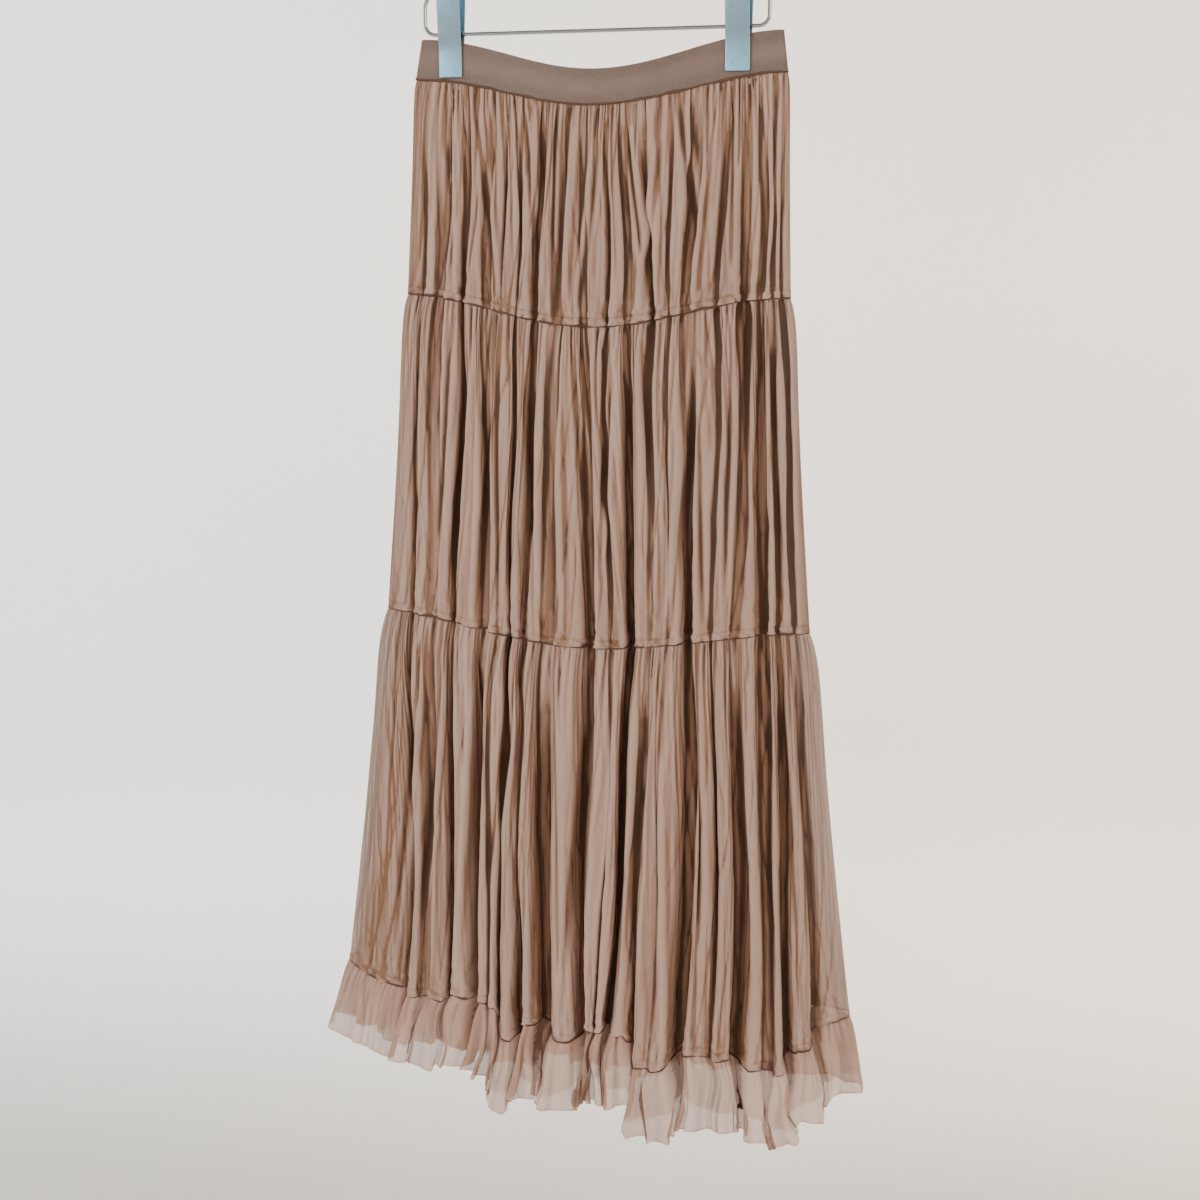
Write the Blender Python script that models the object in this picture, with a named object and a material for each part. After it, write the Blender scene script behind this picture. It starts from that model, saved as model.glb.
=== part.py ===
"""Maxi skirt on a clip hanger: three gathered tiers and a hem ruffle, hung by its waistband.

Frame: X to the right, Y to the back, Z up, in metres. The origin is the bearing point inside
the top of the hanger's hook. Sizes below are in millimetres.
"""
import math

import bmesh
import bpy
import numpy as np

MM = 0.001
SEAM_GAP = 0.3
SMOOTH_ANGLE = math.radians(60.0)

# Cloth walls
BAND_WALL = 1.2
TULLE_WALL = 1.0
MITRE_LIMIT = 1.6

# Levels of the skirt, top to bottom. side_z is the height at the side seams, dip how much lower
# the middle hangs, half_width from the middle to a side seam, shift the middle's place in X,
# half_depth from the middle of the section to its front, forward how far the whole section
# swings to the front at its middle, pinch how much the section is held flat by the clips.
LEVEL_COLUMNS = ("side_z", "dip", "half_width", "shift", "half_depth", "forward", "pinch")
LEVELS = {
    "band_top": (-153.5, 28.0, 161.5, 4.5, 8.5, 0.0, 1.0),
    "waist": (-187.0, 24.0, 166.5, 3.5, 9.5, 0.0, 1.0),
    "seam_1": (-372.5, 26.0, 175.0, 0.5, 20.0, 0.0, 0.0),
    "seam_2": (-661.0, 20.0, 199.0, -1.0, 30.0, 3.0, 0.0),
    "hem": (-1012.0, 26.0, 245.0, -3.0, 50.0, 36.0, 0.0),
    "edge": (-1080.0, 24.0, 261.0, -7.0, 54.0, 39.0, 0.0),
}
SECTION_POWER = 2.4
PINCHED_HALF_DEPTH = 2.2
PINCH_SPAN = 0.66
PINCH_EASE = 1.5
END_RADIUS = 2.5
END_CROWDING = 1.6
BAND_COLUMNS = 31
BAND_CROWDING = 2.2
DEEPEST_SHARE = 0.64
FOLD_CLEARANCE = 2.0

# Folds of the front, left to right. The first four numbers are the fold's place in X at the
# waist, at both seams and at the hem, the next six its depth halfway down a tier and at the
# seam below it, then the flat share of its floor, and how far the hem hangs below its level in
# the lobe to the fold's right.
FOLD_COLUMNS = ("waist", "seam_1", "seam_2", "hem", "tier_1", "low_1", "tier_2", "low_2",
                "tier_3", "low_3", "floor", "hang")
FRONT_FOLDS = (
    (-153, -157, -170, -166, 3, 3, 14, 8, 22, 16, 0.1, 0),
    (-137, -143, -148, -147, 6, 4, 3, 2, 9, 5, 0.5, -8),
    (-119, -119, -126, -117, 8, 9, 15, 9, 20, 12, 0.1, -20),
    (-95, -93, -94, -88, 5, 4, 12, 8, 28, 26, 0.45, -24),
    (-82, -80, -80, -75, 5, 1, 2, 1, 3, 4, 0.1, -22),
    (-67, -66, -69, -64, 5, 3, 9, 15, 10, 12, 0.1, 6),
    (-44, -51, -58, -47, 10, 8, 15, 8, 9, 22, 0.3, -14),
    (-31, -27, -35, -22, 5, 3, 5, 3, 29, 32, 0.4, -4),
    (-8, -4, 7, 18, 5, 5, 9, 15, 32, 27, 0.3, -16),
    (11, 16, 26, 28, 6, 6, 7, 2, 4, 6, 0.1, -16),
    (25, 36, 46, 40, 5, 3, 20, 22, 27, 25, 0.3, -13),
    (42, 57, 62, 60, 9, 9, 3, 1, 8, 14, 0.2, 18),
    (66, 73, 78, 78, 4, 2, 3, 1, 2, 1, 0.1, 22),
    (88, 85, 93, 98, 7, 4, 13, 18, 34, 36, 0.4, 11),
    (116, 113, 116, 131, 6, 4, 4, 3, 13, 6, 0.1, 20),
    (131, 139, 137, 157, 9, 9, 5, 3, 17, 24, 0.4, 34),
    (145, 150, 162, 182, 3, 3, 18, 13, 13, 7, 0.5, 42),
    (155, 161, 174, 201, 3, 2, 9, 5, 20, 20, 0.3, 23),
    (163, 168, 188, 222, 3, 2, 4, 3, 12, 14, 0.2, 0),
)

# The back's folds are the front's in mirror image, drifting sideways across the skirt by up to
# the shift, deeper or shallower in turn, and with less of the hang.
BACK_SHIFT = 7.0
BACK_DRIFT = 53.0
BACK_DEPTH = 0.78
BACK_DEPTH_SWING = 0.16
BACK_PHASE = 2.3
BACK_HANG = 0.6

# Fold columns of each tier: above, halfway and below
TIER_1_FOLDS = (None, "tier_1", "low_1")
TIER_2_FOLDS = ("low_1", "tier_2", "low_2")
TIER_3_FOLDS = ("low_2", "tier_3", "low_3")

# Tiers: node, level above, level below, fold columns, the rows' shares of the way down, how far
# the cloth puffs out at the shoulder under the seam, and how much of the hang its foot takes.
TIERS = (
    ("tier_1", "waist", "seam_1", TIER_1_FOLDS, (0.0, 0.2, 0.55, 1.0), 1.0, 0.0),
    ("tier_2", "seam_1", "seam_2", TIER_2_FOLDS, (0.0, 0.14, 0.5, 0.8, 1.0), 3.0, 0.0),
    ("tier_3", "seam_2", "hem", TIER_3_FOLDS, (0.0, 0.1, 0.45, 0.75, 1.0), 4.5, 1.0),
)
SHOULDER_REACH = 0.12
SHALLOW_FOLD = 6.0
END_STEPS = (0.12, 0.3, 0.6)
NARROWEST_FLOOR = 0.06
LOBE_EDGE = 0.16
SHALLOW_EDGE = 0.08

# Hem ruffle: waves for each fold, their depth, and how much of the fold is left at its edge.
RUFFLE_ROWS = (0.0, 0.4, 1.0)
RUFFLE_WAVES = 1.25
RUFFLE_WAVE_DEPTH = 5.0
RUFFLE_FOLD_LEFT = 0.6

# Hanger
HOOK_RADIUS = 20.0
HOOK_WIRE = 1.9
HOOK_FROM, HOOK_TO = math.radians(-62.0), math.radians(197.0)
SHANK_FOOT = -62.0
COLLAR_RADIUS = 4.6
COLLAR_LENGTH = 14.0
NECK_LEAD = 10.0
BEND_LEAD = 12.0
NECK_STEPS = 6
HOOK_STEPS = 25
FRAME_WIRE = 1.75
FRAME_HALF_WIDTH = 153.0
BAR_Z = -150.0
BAR_CORNER = 9.0
ARM_Z = -118.0
ARM_CORNER = 14.0
PEAK_CORNER = 7.0
CORNER_STEPS = 6
TUBE_SIDES = 10

# Clips: place of each in X, its plates and its barrel
CLIP_X = {"left": -129.0, "right": 127.0}
PLATE_HALF_WIDTH = 10.6
PLATE_WALL = 1.2
PLATE_CROWN = 0.5
PLATE_CORNER = 1.5
BARREL_RADIUS = 4.0
BARREL_BORE = 2.1
BARREL_HALF_LENGTH = 8.0
BARREL_SIDES = 12

# Height of each row of the front plate, and how far its inner face stands from the middle.
PLATE_GRIP = PINCHED_HALF_DEPTH + 1.5 * SEAM_GAP
PLATE_SADDLE = BARREL_RADIUS + SEAM_GAP
PLATE_LINE = (
    (-186.0, PLATE_GRIP),
    (-174.0, PLATE_GRIP),
    (-161.0, PLATE_GRIP),
    (-154.0, PLATE_SADDLE),
    (-145.0, PLATE_SADDLE + 0.6),
    (-130.0, PLATE_SADDLE + 2.2),
    (-106.0, PLATE_SADDLE + 4.2),
)
PLATE_ACROSS = (-1.0, -0.86, -0.45, 0.0, 0.45, 0.86, 1.0)

# Finishes: colour, roughness, metallic.
FINISHES = {
    "tulle": ((0.40, 0.27, 0.22, 1.0), 0.8, 0.0),
    "ruffle": ((0.58, 0.43, 0.37, 1.0), 0.8, 0.0),
    "band": ((0.26, 0.18, 0.14, 1.0), 0.85, 0.0),
    "wire": ((0.62, 0.60, 0.58, 1.0), 0.25, 1.0),
    "plate": ((0.48, 0.60, 0.66, 1.0), 0.35, 0.9),
}


def clear_scene():
    """Take every object out of the scene."""
    for item in list(bpy.data.objects):
        bpy.data.objects.remove(item, do_unlink=True)


def material(name):
    """The plain finish of one kind of piece."""
    finish = bpy.data.materials.get(name)
    if finish:
        return finish
    color, roughness, metallic = FINISHES[name]
    finish = bpy.data.materials.new(name)
    finish.use_nodes = True
    shader = finish.node_tree.nodes["Principled BSDF"]
    shader.inputs["Base Color"].default_value = color
    shader.inputs["Roughness"].default_value = roughness
    shader.inputs["Metallic"].default_value = metallic
    finish.diffuse_color = color
    return finish


def add_mesh(name, points, faces, finish):
    """A named object from points in millimetres and faces."""
    mesh = bpy.data.meshes.new(name)
    mesh.from_pydata([tuple(float(v) * MM for v in p) for p in points], [], faces)
    work = bmesh.new()
    work.from_mesh(mesh)
    bmesh.ops.triangulate(work, faces=work.faces)
    bmesh.ops.recalc_face_normals(work, faces=work.faces)
    if work.calc_volume(signed=True) < 0.0:
        bmesh.ops.reverse_faces(work, faces=work.faces)
    work.to_mesh(mesh)
    work.free()
    mesh.shade_smooth()
    mesh.set_sharp_from_angle(angle=SMOOTH_ANGLE)
    mesh.materials.append(material(finish))
    item = bpy.data.objects.new(name, mesh)
    bpy.context.scene.collection.objects.link(item)
    return item


def level_values(top, low, share):
    """The level's values at a share of the way from one level down to the next."""
    upper = np.array(LEVELS[top])
    lower = np.array(LEVELS[low])
    return dict(zip(LEVEL_COLUMNS, upper + (lower - upper) * share))


def level_height(values, place):
    """Height of a level at place -1 to 1 across it: a raised cosine hangs between the sides."""
    return values["side_z"] - values["dip"] * (1.0 + np.cos(np.pi * place)) / 2.0


def half_depth(values, place):
    """Half the depth of a section: a superellipse, or nearly flat where the clips hold it."""
    inside = np.clip(1.0 - np.abs(place) ** SECTION_POWER, 0.0, 1.0)
    free = values["half_depth"] * np.sqrt(inside)
    swell = np.clip(1.0 - (place / PINCH_SPAN) ** 2, 0.0, 1.0) ** PINCH_EASE
    near_end = np.clip(1.0 - values["half_width"] * (1.0 - np.abs(place)) / END_RADIUS, 0.0, 1.0)
    rounding = np.sqrt(1.0 - near_end ** 2)
    held = (PINCHED_HALF_DEPTH + (values["half_depth"] - PINCHED_HALF_DEPTH) * swell) * rounding
    return free + (held - free) * values["pinch"]


def section_curve(values, place, side):
    """Points of the unfolded section, side -1 for the front and +1 for the back."""
    middle = -values["forward"] * (1.0 - place ** 2)
    x = values["shift"] + values["half_width"] * place
    y = middle + side * (half_depth(values, place) + SEAM_GAP / 2.0)
    return np.stack([x, y], axis=-1)


def outward(points, side):
    """Unit normals of a line of points, turned out of the skirt."""
    along = np.gradient(points, axis=0)
    along[0] = (0.0, side)
    along[-1] = (0.0, -side)
    normal = np.stack([-along[:, 1], along[:, 0]], axis=-1) * side
    return normal / np.linalg.norm(normal, axis=1)[:, None]


def fold_table(side):
    """The folds of one half as a dictionary of columns, left to right."""
    rows = [dict(zip(FOLD_COLUMNS, row)) for row in FRONT_FOLDS]
    if side > 0:
        places, depths = FOLD_COLUMNS[:4], FOLD_COLUMNS[4:10]
        for number, row in enumerate(rows):
            for name in places:
                row[name] = -row[name] + BACK_SHIFT * math.sin(row[name] / BACK_DRIFT)
            for name in depths:
                row[name] *= BACK_DEPTH + BACK_DEPTH_SWING * math.cos(BACK_PHASE * number)
        rows.reverse()
    return {name: np.array([row[name] for row in rows], float) for name in FOLD_COLUMNS}


def fold_places(folds, top, low, share):
    """Places of the folds across a section, -1 to 1, with both side seams added at the ends."""
    inner = 0.0
    for level, part in ((top, 1.0 - share), (low, share)):
        named = "hem" if level == "edge" else level
        half_width = LEVELS[named][LEVEL_COLUMNS.index("half_width")]
        inner = inner + part * folds[named] / half_width
    return np.concatenate([[-1.0], inner, [1.0]])


def column_places(steps, ends):
    """Place of each column: even between two folds, and rounding into the side seams."""
    last = len(ends) - 1
    index = np.minimum(np.floor(steps).astype(int), last - 1)
    share = steps - index
    share = np.where(index == 0, share ** END_CROWDING, share)
    share = np.where(index == last - 1, 1.0 - (1.0 - share) ** END_CROWDING, share)
    return ends[index] + (ends[index + 1] - ends[index]) * share


def fold_drop(steps, depths, floors):
    """How far the cloth lies inside its section: round lobes that meet in the folds."""
    nearest = np.rint(steps).astype(int)
    away = 2.0 * np.abs(steps - nearest)
    depth = np.concatenate([[0.0], depths, [0.0]])[nearest]
    floor = np.concatenate([[0.0], floors, [0.0]])[nearest]
    rise = np.clip((away - floor) / (1.0 - floor), 0.0, 1.0)
    return depth * (1.0 - np.sqrt(1.0 - (1.0 - rise) ** 2))


def ease(share):
    """Smooth step from 0 to 1."""
    share = np.clip(share, 0.0, 1.0)
    return share * share * (3.0 - 2.0 * share)


def depth_at(folds, names, share):
    """Fold depths at a share of the way down a tier, from its top, middle and foot."""
    top, middle, foot = (folds[name] if name else 0.0 * folds["waist"] for name in names)
    if share < 0.5:
        return top + (middle - top) * ease(share * 2.0)
    return middle + (foot - middle) * ease(share * 2.0 - 1.0)


def fold_reaches(folds, names):
    """How far each fold reaches to each side, in steps: to its floor's edge, and to its lobes."""
    deepest = np.max([folds[name] for name in names if name], axis=0)
    floor = np.maximum(NARROWEST_FLOOR, folds["floor"] / 2.0)
    deep = deepest > SHALLOW_FOLD
    return deep, floor, np.where(deep, floor + LOBE_EDGE, SHALLOW_EDGE)


def fold_columns(folds, names):
    """Steps of a tier's columns: five to a deep fold, and three to a shallow one."""
    steps = [0.0, *END_STEPS]
    for number, (deep, floor, reach) in enumerate(zip(*fold_reaches(folds, names)), start=1):
        inner = [number - floor, number + floor] if deep else []
        steps += [number - reach, *inner, number + reach, number + 0.5]
    steps.pop()
    last = len(folds["waist"]) + 1
    return np.array(steps + [last - step for step in reversed(END_STEPS)] + [float(last)])


def ruffle_columns(folds):
    """The third tier's columns, and two more between those across each lobe."""
    steps = fold_columns(folds, TIER_3_FOLDS)
    reaches = fold_reaches(folds, TIER_3_FOLDS)[2]
    more = []
    for number, (left, right) in enumerate(zip(reaches[:-1], reaches[1:]), start=1):
        more += [number + (0.5 + left) / 2.0, number + 1.0 - (0.5 + right) / 2.0]
    return np.union1d(steps, more)


def hang_at(steps, folds, side):
    """How far each column hangs below its level: even across a lobe, and sloping in a fold."""
    lobes = np.array([0.0] + [row[FOLD_COLUMNS.index("hang")] for row in FRONT_FOLDS])
    if side > 0:
        lobes = lobes[::-1] * BACK_HANG
    reaches = fold_reaches(folds, TIER_3_FOLDS)[2]
    numbers = np.arange(1, len(lobes))
    edges = np.stack([numbers - reaches, numbers + reaches], axis=-1).ravel()
    values = np.stack([lobes[:-1], lobes[1:]], axis=-1).ravel()
    return np.interp(steps, edges, values)


def inner_wall(points, side, wall):
    """The same line moved in by the wall's thickness, with mitred corners and square ends."""
    along = np.diff(points, axis=0)
    normal = np.stack([-along[:, 1], along[:, 0]], axis=-1) * side
    normal /= np.linalg.norm(normal, axis=1)[:, None]
    mitre = normal[:-1] + normal[1:]
    mitre /= np.linalg.norm(mitre, axis=1)[:, None]
    reach = 1.0 / np.maximum(np.sum(mitre * normal[1:], axis=1), 1.0 / MITRE_LIMIT)
    moves = np.concatenate([[(-1.0, 0.0)], mitre * reach[:, None], [(1.0, 0.0)]])
    return points - moves * wall


def cloth_solid(name, outer_rows, inner_rows, heights, finish):
    """A closed wall from its outer and inner lines at each height, top row first."""
    rows, columns = len(outer_rows), len(outer_rows[0])
    points = []
    for lines in (outer_rows, inner_rows):
        for line, height in zip(lines, heights):
            points += [(p[0], p[1], z) for p, z in zip(line, height)]

    def at(layer, row, column):
        return (layer * rows + row) * columns + column

    faces = []
    for layer in (0, 1):
        for row in range(rows - 1):
            for column in range(columns - 1):
                faces.append((at(layer, row, column), at(layer, row, column + 1),
                              at(layer, row + 1, column + 1), at(layer, row + 1, column)))
    for row in (0, rows - 1):
        for column in range(columns - 1):
            faces.append((at(0, row, column), at(1, row, column),
                          at(1, row, column + 1), at(0, row, column + 1)))
    for column in (0, columns - 1):
        for row in range(rows - 1):
            faces.append((at(0, row, column), at(0, row + 1, column),
                          at(1, row + 1, column), at(1, row, column)))
    return add_mesh(name, points, faces, finish)


def cloth_line(values, place, drop, side, shoulder=0.0):
    """One outer line: the section moved in at its folds and out at the tier's shoulder."""
    points = section_curve(values, place, side)
    depth = half_depth(values, place)
    limit = np.clip(np.minimum(DEEPEST_SHARE * depth, depth - FOLD_CLEARANCE), 0.0, None)
    return points - outward(points, side) * (np.minimum(drop, limit) - shoulder)[:, None]


def row_height(top, low, share, place):
    """Heights of one row between two levels, clear of the pieces above and below."""
    upper = level_height(level_values(top, top, 0.0), place) - SEAM_GAP / 2.0
    lower = level_height(level_values(low, low, 0.0), place) + SEAM_GAP / 2.0
    return upper + (lower - upper) * share


def make_band(side, label):
    """The waistband: a plain smooth strip that the clips hold flat at both ends."""
    even = np.linspace(-1.0, 1.0, BAND_COLUMNS)
    place = np.sign(even) * (1.0 - (1.0 - np.abs(even)) ** BAND_CROWDING)
    outer, inner, heights = [], [], []
    for share in (0.0, 0.5, 1.0):
        values = level_values("band_top", "waist", share)
        line = cloth_line(values, place, np.zeros(BAND_COLUMNS), side)
        outer.append(line)
        inner.append(inner_wall(line, side, BAND_WALL))
        heights.append(row_height("band_top", "waist", share, place))
    cloth_solid(f"waistband_{label}", outer, inner, heights, "band")


def make_tier(tier, side, label, folds):
    """One tier of gathered tulle between two seams."""
    node, top, low, names, shares, puff, hanging = tier
    steps = fold_columns(folds, names)
    hang = hang_at(steps, folds, side) * hanging
    outer, inner, heights = [], [], []
    for share in shares:
        place = column_places(steps, fold_places(folds, top, low, share))
        values = level_values(top, low, share)
        drop = fold_drop(steps, depth_at(folds, names, share), folds["floor"])
        rise = share / SHOULDER_REACH
        shoulder = puff * rise * math.exp(1.0 - rise)
        line = cloth_line(values, place, drop, side, shoulder)
        outer.append(line)
        inner.append(inner_wall(line, side, TULLE_WALL))
        heights.append(row_height(top, low, share, place) - hang * share)
    cloth_solid(f"{node}_{label}", outer, inner, heights, "tulle")


def make_ruffle(side, label, folds):
    """The hem ruffle: it leaves the hem's folds and spreads into waves of its own."""
    last = len(folds["hem"]) + 1
    steps = ruffle_columns(folds)
    hang = hang_at(steps, folds, side)
    wave = np.sin(np.pi * RUFFLE_WAVES * 2.0 * steps) * np.sin(np.pi * steps / last)
    outer, inner, heights = [], [], []
    for share in RUFFLE_ROWS:
        place = column_places(steps, fold_places(folds, "hem", "edge", share))
        values = level_values("hem", "edge", share)
        left = 1.0 - (1.0 - RUFFLE_FOLD_LEFT) * share
        drop = fold_drop(steps, folds["low_3"] * left, folds["floor"])
        line = cloth_line(values, place, drop, side, RUFFLE_WAVE_DEPTH * share * wave)
        outer.append(line)
        inner.append(inner_wall(line, side, TULLE_WALL))
        heights.append(row_height("hem", "edge", share, place) - hang)
    cloth_solid(f"ruffle_{label}", outer, inner, heights, "ruffle")


def tube(name, path, radii, closed=False):
    """A round tube along a path that lies in the plane of X and Z."""
    path = np.asarray(path, float)
    if closed:
        along = np.roll(path, -1, axis=0) - np.roll(path, 1, axis=0)
    else:
        along = np.gradient(path, axis=0)
    along /= np.linalg.norm(along, axis=1)[:, None]
    across = np.stack([-along[:, 1], along[:, 0]], axis=-1)
    radii = np.broadcast_to(radii, len(path))
    points = []
    for centre, normal, radius in zip(path, across, radii):
        for turn in np.linspace(0.0, 2.0 * np.pi, TUBE_SIDES, endpoint=False):
            spread = radius * math.cos(turn)
            points.append((centre[0] + normal[0] * spread, radius * math.sin(turn),
                           centre[1] + normal[1] * spread))
    rings = len(path)
    faces = []
    for ring in range(rings if closed else rings - 1):
        following = (ring + 1) % rings
        for number in range(TUBE_SIDES):
            beside = (number + 1) % TUBE_SIDES
            here, beyond = ring * TUBE_SIDES, following * TUBE_SIDES
            faces.append((here + number, here + beside, beyond + beside, beyond + number))
    if not closed:
        faces.append(tuple(range(TUBE_SIDES)))
        faces.append(tuple((rings - 1) * TUBE_SIDES + number for number in range(TUBE_SIDES)))
    add_mesh(name, points, faces, "wire")


def rounded_loop(corners):
    """Points of a closed loop whose corners, given as x, z and radius, are arcs."""
    points = []
    count = len(corners)
    for number in range(count):
        before = np.array(corners[number - 1][:2])
        here = np.array(corners[number][:2])
        after = np.array(corners[(number + 1) % count][:2])
        radius = corners[number][2]
        into = (here - before) / np.linalg.norm(here - before)
        out = (after - here) / np.linalg.norm(after - here)
        turn = math.acos(float(np.clip(into @ out, -1.0, 1.0)))
        reach = radius * math.tan(turn / 2.0)
        start = here - into * reach
        hand = math.copysign(1.0, into[0] * out[1] - into[1] * out[0])
        centre = start + np.array([-into[1], into[0]]) * hand * radius
        arm = start - centre
        for step in range(CORNER_STEPS + 1):
            angle = hand * turn * step / CORNER_STEPS
            cosine, sine = math.cos(angle), math.sin(angle)
            points.append(centre + np.array([arm[0] * cosine - arm[1] * sine,
                                             arm[0] * sine + arm[1] * cosine]))
    return points


def make_frame():
    """The hanger's wire: a straight bar, upright ends and two arms up to the neck."""
    peak = SHANK_FOOT - SEAM_GAP - FRAME_WIRE
    slope = (peak - ARM_Z) / FRAME_HALF_WIDTH
    lift = PEAK_CORNER * (math.sqrt(1.0 + slope * slope) - 1.0)
    corners = (
        (-FRAME_HALF_WIDTH, BAR_Z, BAR_CORNER),
        (FRAME_HALF_WIDTH, BAR_Z, BAR_CORNER),
        (FRAME_HALF_WIDTH, ARM_Z, ARM_CORNER),
        (0.0, peak + lift, PEAK_CORNER),
        (-FRAME_HALF_WIDTH, ARM_Z, ARM_CORNER),
    )
    tube("hanger_frame", rounded_loop(corners), FRAME_WIRE, closed=True)


def make_hook():
    """The hook and its collar, turned from one wire: a shank, a bend and most of a circle."""
    ring = HOOK_RADIUS + HOOK_WIRE
    centre_z = -HOOK_RADIUS
    collar_top = SHANK_FOOT + COLLAR_LENGTH
    path = [(0.0, SHANK_FOOT), (0.0, collar_top - 1.0), (0.0, collar_top)]
    radii = [COLLAR_RADIUS, COLLAR_RADIUS, HOOK_WIRE]
    start = np.array([0.0, collar_top + 1.0])
    end = np.array([ring * math.cos(HOOK_FROM), centre_z + ring * math.sin(HOOK_FROM)])
    leave = np.array([0.0, 1.0]) * NECK_LEAD
    arrive = np.array([-math.sin(HOOK_FROM), math.cos(HOOK_FROM)]) * BEND_LEAD
    for share in np.linspace(0.0, 1.0, NECK_STEPS)[:-1]:
        point = (start * (1 - 3 * share ** 2 + 2 * share ** 3)
                 + leave * (share - 2 * share ** 2 + share ** 3)
                 + end * (3 * share ** 2 - 2 * share ** 3)
                 + arrive * (share ** 3 - share ** 2))
        path.append(tuple(point))
        radii.append(HOOK_WIRE)
    for angle in np.linspace(HOOK_FROM, HOOK_TO, HOOK_STEPS):
        path.append((ring * math.cos(angle), centre_z + ring * math.sin(angle)))
        radii.append(HOOK_WIRE)
    tube("hanger_hook", path, radii)


def make_plate(name, middle_x, side):
    """One plate of a clip: lip on the band, saddle over the barrel, finger end at the top."""
    rows, columns = len(PLATE_LINE), len(PLATE_ACROSS)
    points = []
    for wall, crown in ((PLATE_WALL, PLATE_CROWN), (0.0, 0.0)):
        for row, (z, y) in enumerate(PLATE_LINE):
            for share in PLATE_ACROSS:
                cut = PLATE_CORNER if row in (0, rows - 1) and abs(share) == 1.0 else 0.0
                x = middle_x + share * (PLATE_HALF_WIDTH - cut)
                points.append((x, side * (y + wall + crown * (1.0 - share ** 2)), z))
    faces = []
    for layer in (0, 1):
        start = layer * rows * columns
        for row in range(rows - 1):
            for column in range(columns - 1):
                corner = start + row * columns + column
                faces.append((corner, corner + 1, corner + columns + 1, corner + columns))
    under = rows * columns
    for row in (0, rows - 1):
        for column in range(columns - 1):
            corner = row * columns + column
            faces.append((corner, corner + under, corner + under + 1, corner + 1))
    for column in (0, columns - 1):
        for row in range(rows - 1):
            corner = row * columns + column
            faces.append((corner, corner + columns, corner + columns + under, corner + under))
    add_mesh(name, points, faces, "plate")


def make_barrel(name, middle_x):
    """The clip's barrel, a short tube that turns on the bar."""
    points = []
    for x in (middle_x - BARREL_HALF_LENGTH, middle_x + BARREL_HALF_LENGTH):
        for radius in (BARREL_RADIUS, BARREL_BORE):
            for turn in np.linspace(0.0, 2.0 * np.pi, BARREL_SIDES, endpoint=False):
                points.append((x, radius * math.cos(turn), BAR_Z + radius * math.sin(turn)))
    faces = []
    for number in range(BARREL_SIDES):
        beside = (number + 1) % BARREL_SIDES
        starts = range(0, 4 * BARREL_SIDES, BARREL_SIDES)
        ring = [(start + number, start + beside) for start in starts]
        for first, second in ((0, 2), (1, 3), (0, 1), (2, 3)):
            faces.append((ring[first][0], ring[first][1], ring[second][1], ring[second][0]))
    add_mesh(name, points, faces, "wire")


def make_clips():
    """Two clips on the bar, each with two plates and a barrel."""
    for hand, middle_x in CLIP_X.items():
        make_plate(f"clip_{hand}_front", middle_x, -1.0)
        make_plate(f"clip_{hand}_back", middle_x, 1.0)
        make_barrel(f"clip_{hand}_barrel", middle_x)


def make_skirt():
    """Front and back of the waistband, the three tiers and the ruffle."""
    for side, label in ((-1, "front"), (1, "back")):
        folds = fold_table(side)
        make_band(side, label)
        for tier in TIERS:
            make_tier(tier, side, label, folds)
        make_ruffle(side, label, folds)


def main():
    clear_scene()
    make_skirt()
    make_frame()
    make_hook()
    make_clips()


main()
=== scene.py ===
"""Maxi skirt on a clip hanger, dressed: knit waistband, gathered tulle tiers, sheer hem ruffle.

Laid out as a Blender add-on, and run as a script. Shapes are worked out in millimetres in the
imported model's frame: X to the right, Y to the back, Z up from the bearing point in the hook.
"""

import math

import bpy
import numpy as np
from bpy.props import FloatProperty, FloatVectorProperty, PointerProperty
from mathutils import Matrix


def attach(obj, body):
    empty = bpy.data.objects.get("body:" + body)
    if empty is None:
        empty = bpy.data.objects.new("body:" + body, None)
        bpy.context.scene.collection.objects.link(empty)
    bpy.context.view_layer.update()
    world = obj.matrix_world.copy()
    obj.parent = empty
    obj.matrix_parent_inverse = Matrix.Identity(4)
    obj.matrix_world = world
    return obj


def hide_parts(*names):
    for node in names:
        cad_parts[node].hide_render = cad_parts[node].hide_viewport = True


bl_info = {
    "name": "Maxi Skirt on Clip Hanger",
    "version": (1, 0, 0),
    "blender": (4, 5, 0),
    "location": "3D View > Sidebar > Skirt",
    "description": "Dresses a tiered tulle skirt, its waistband and its clip hanger",
    "category": "Object",
}

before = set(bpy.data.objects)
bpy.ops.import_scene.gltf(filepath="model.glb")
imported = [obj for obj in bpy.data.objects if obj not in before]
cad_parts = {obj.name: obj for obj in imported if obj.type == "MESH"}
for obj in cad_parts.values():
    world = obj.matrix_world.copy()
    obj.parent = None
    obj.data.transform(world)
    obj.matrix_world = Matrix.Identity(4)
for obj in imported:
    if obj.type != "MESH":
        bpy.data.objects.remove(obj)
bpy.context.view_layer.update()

MM = 0.001
SIDES = ((-1, "front"), (1, "back"))

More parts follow.
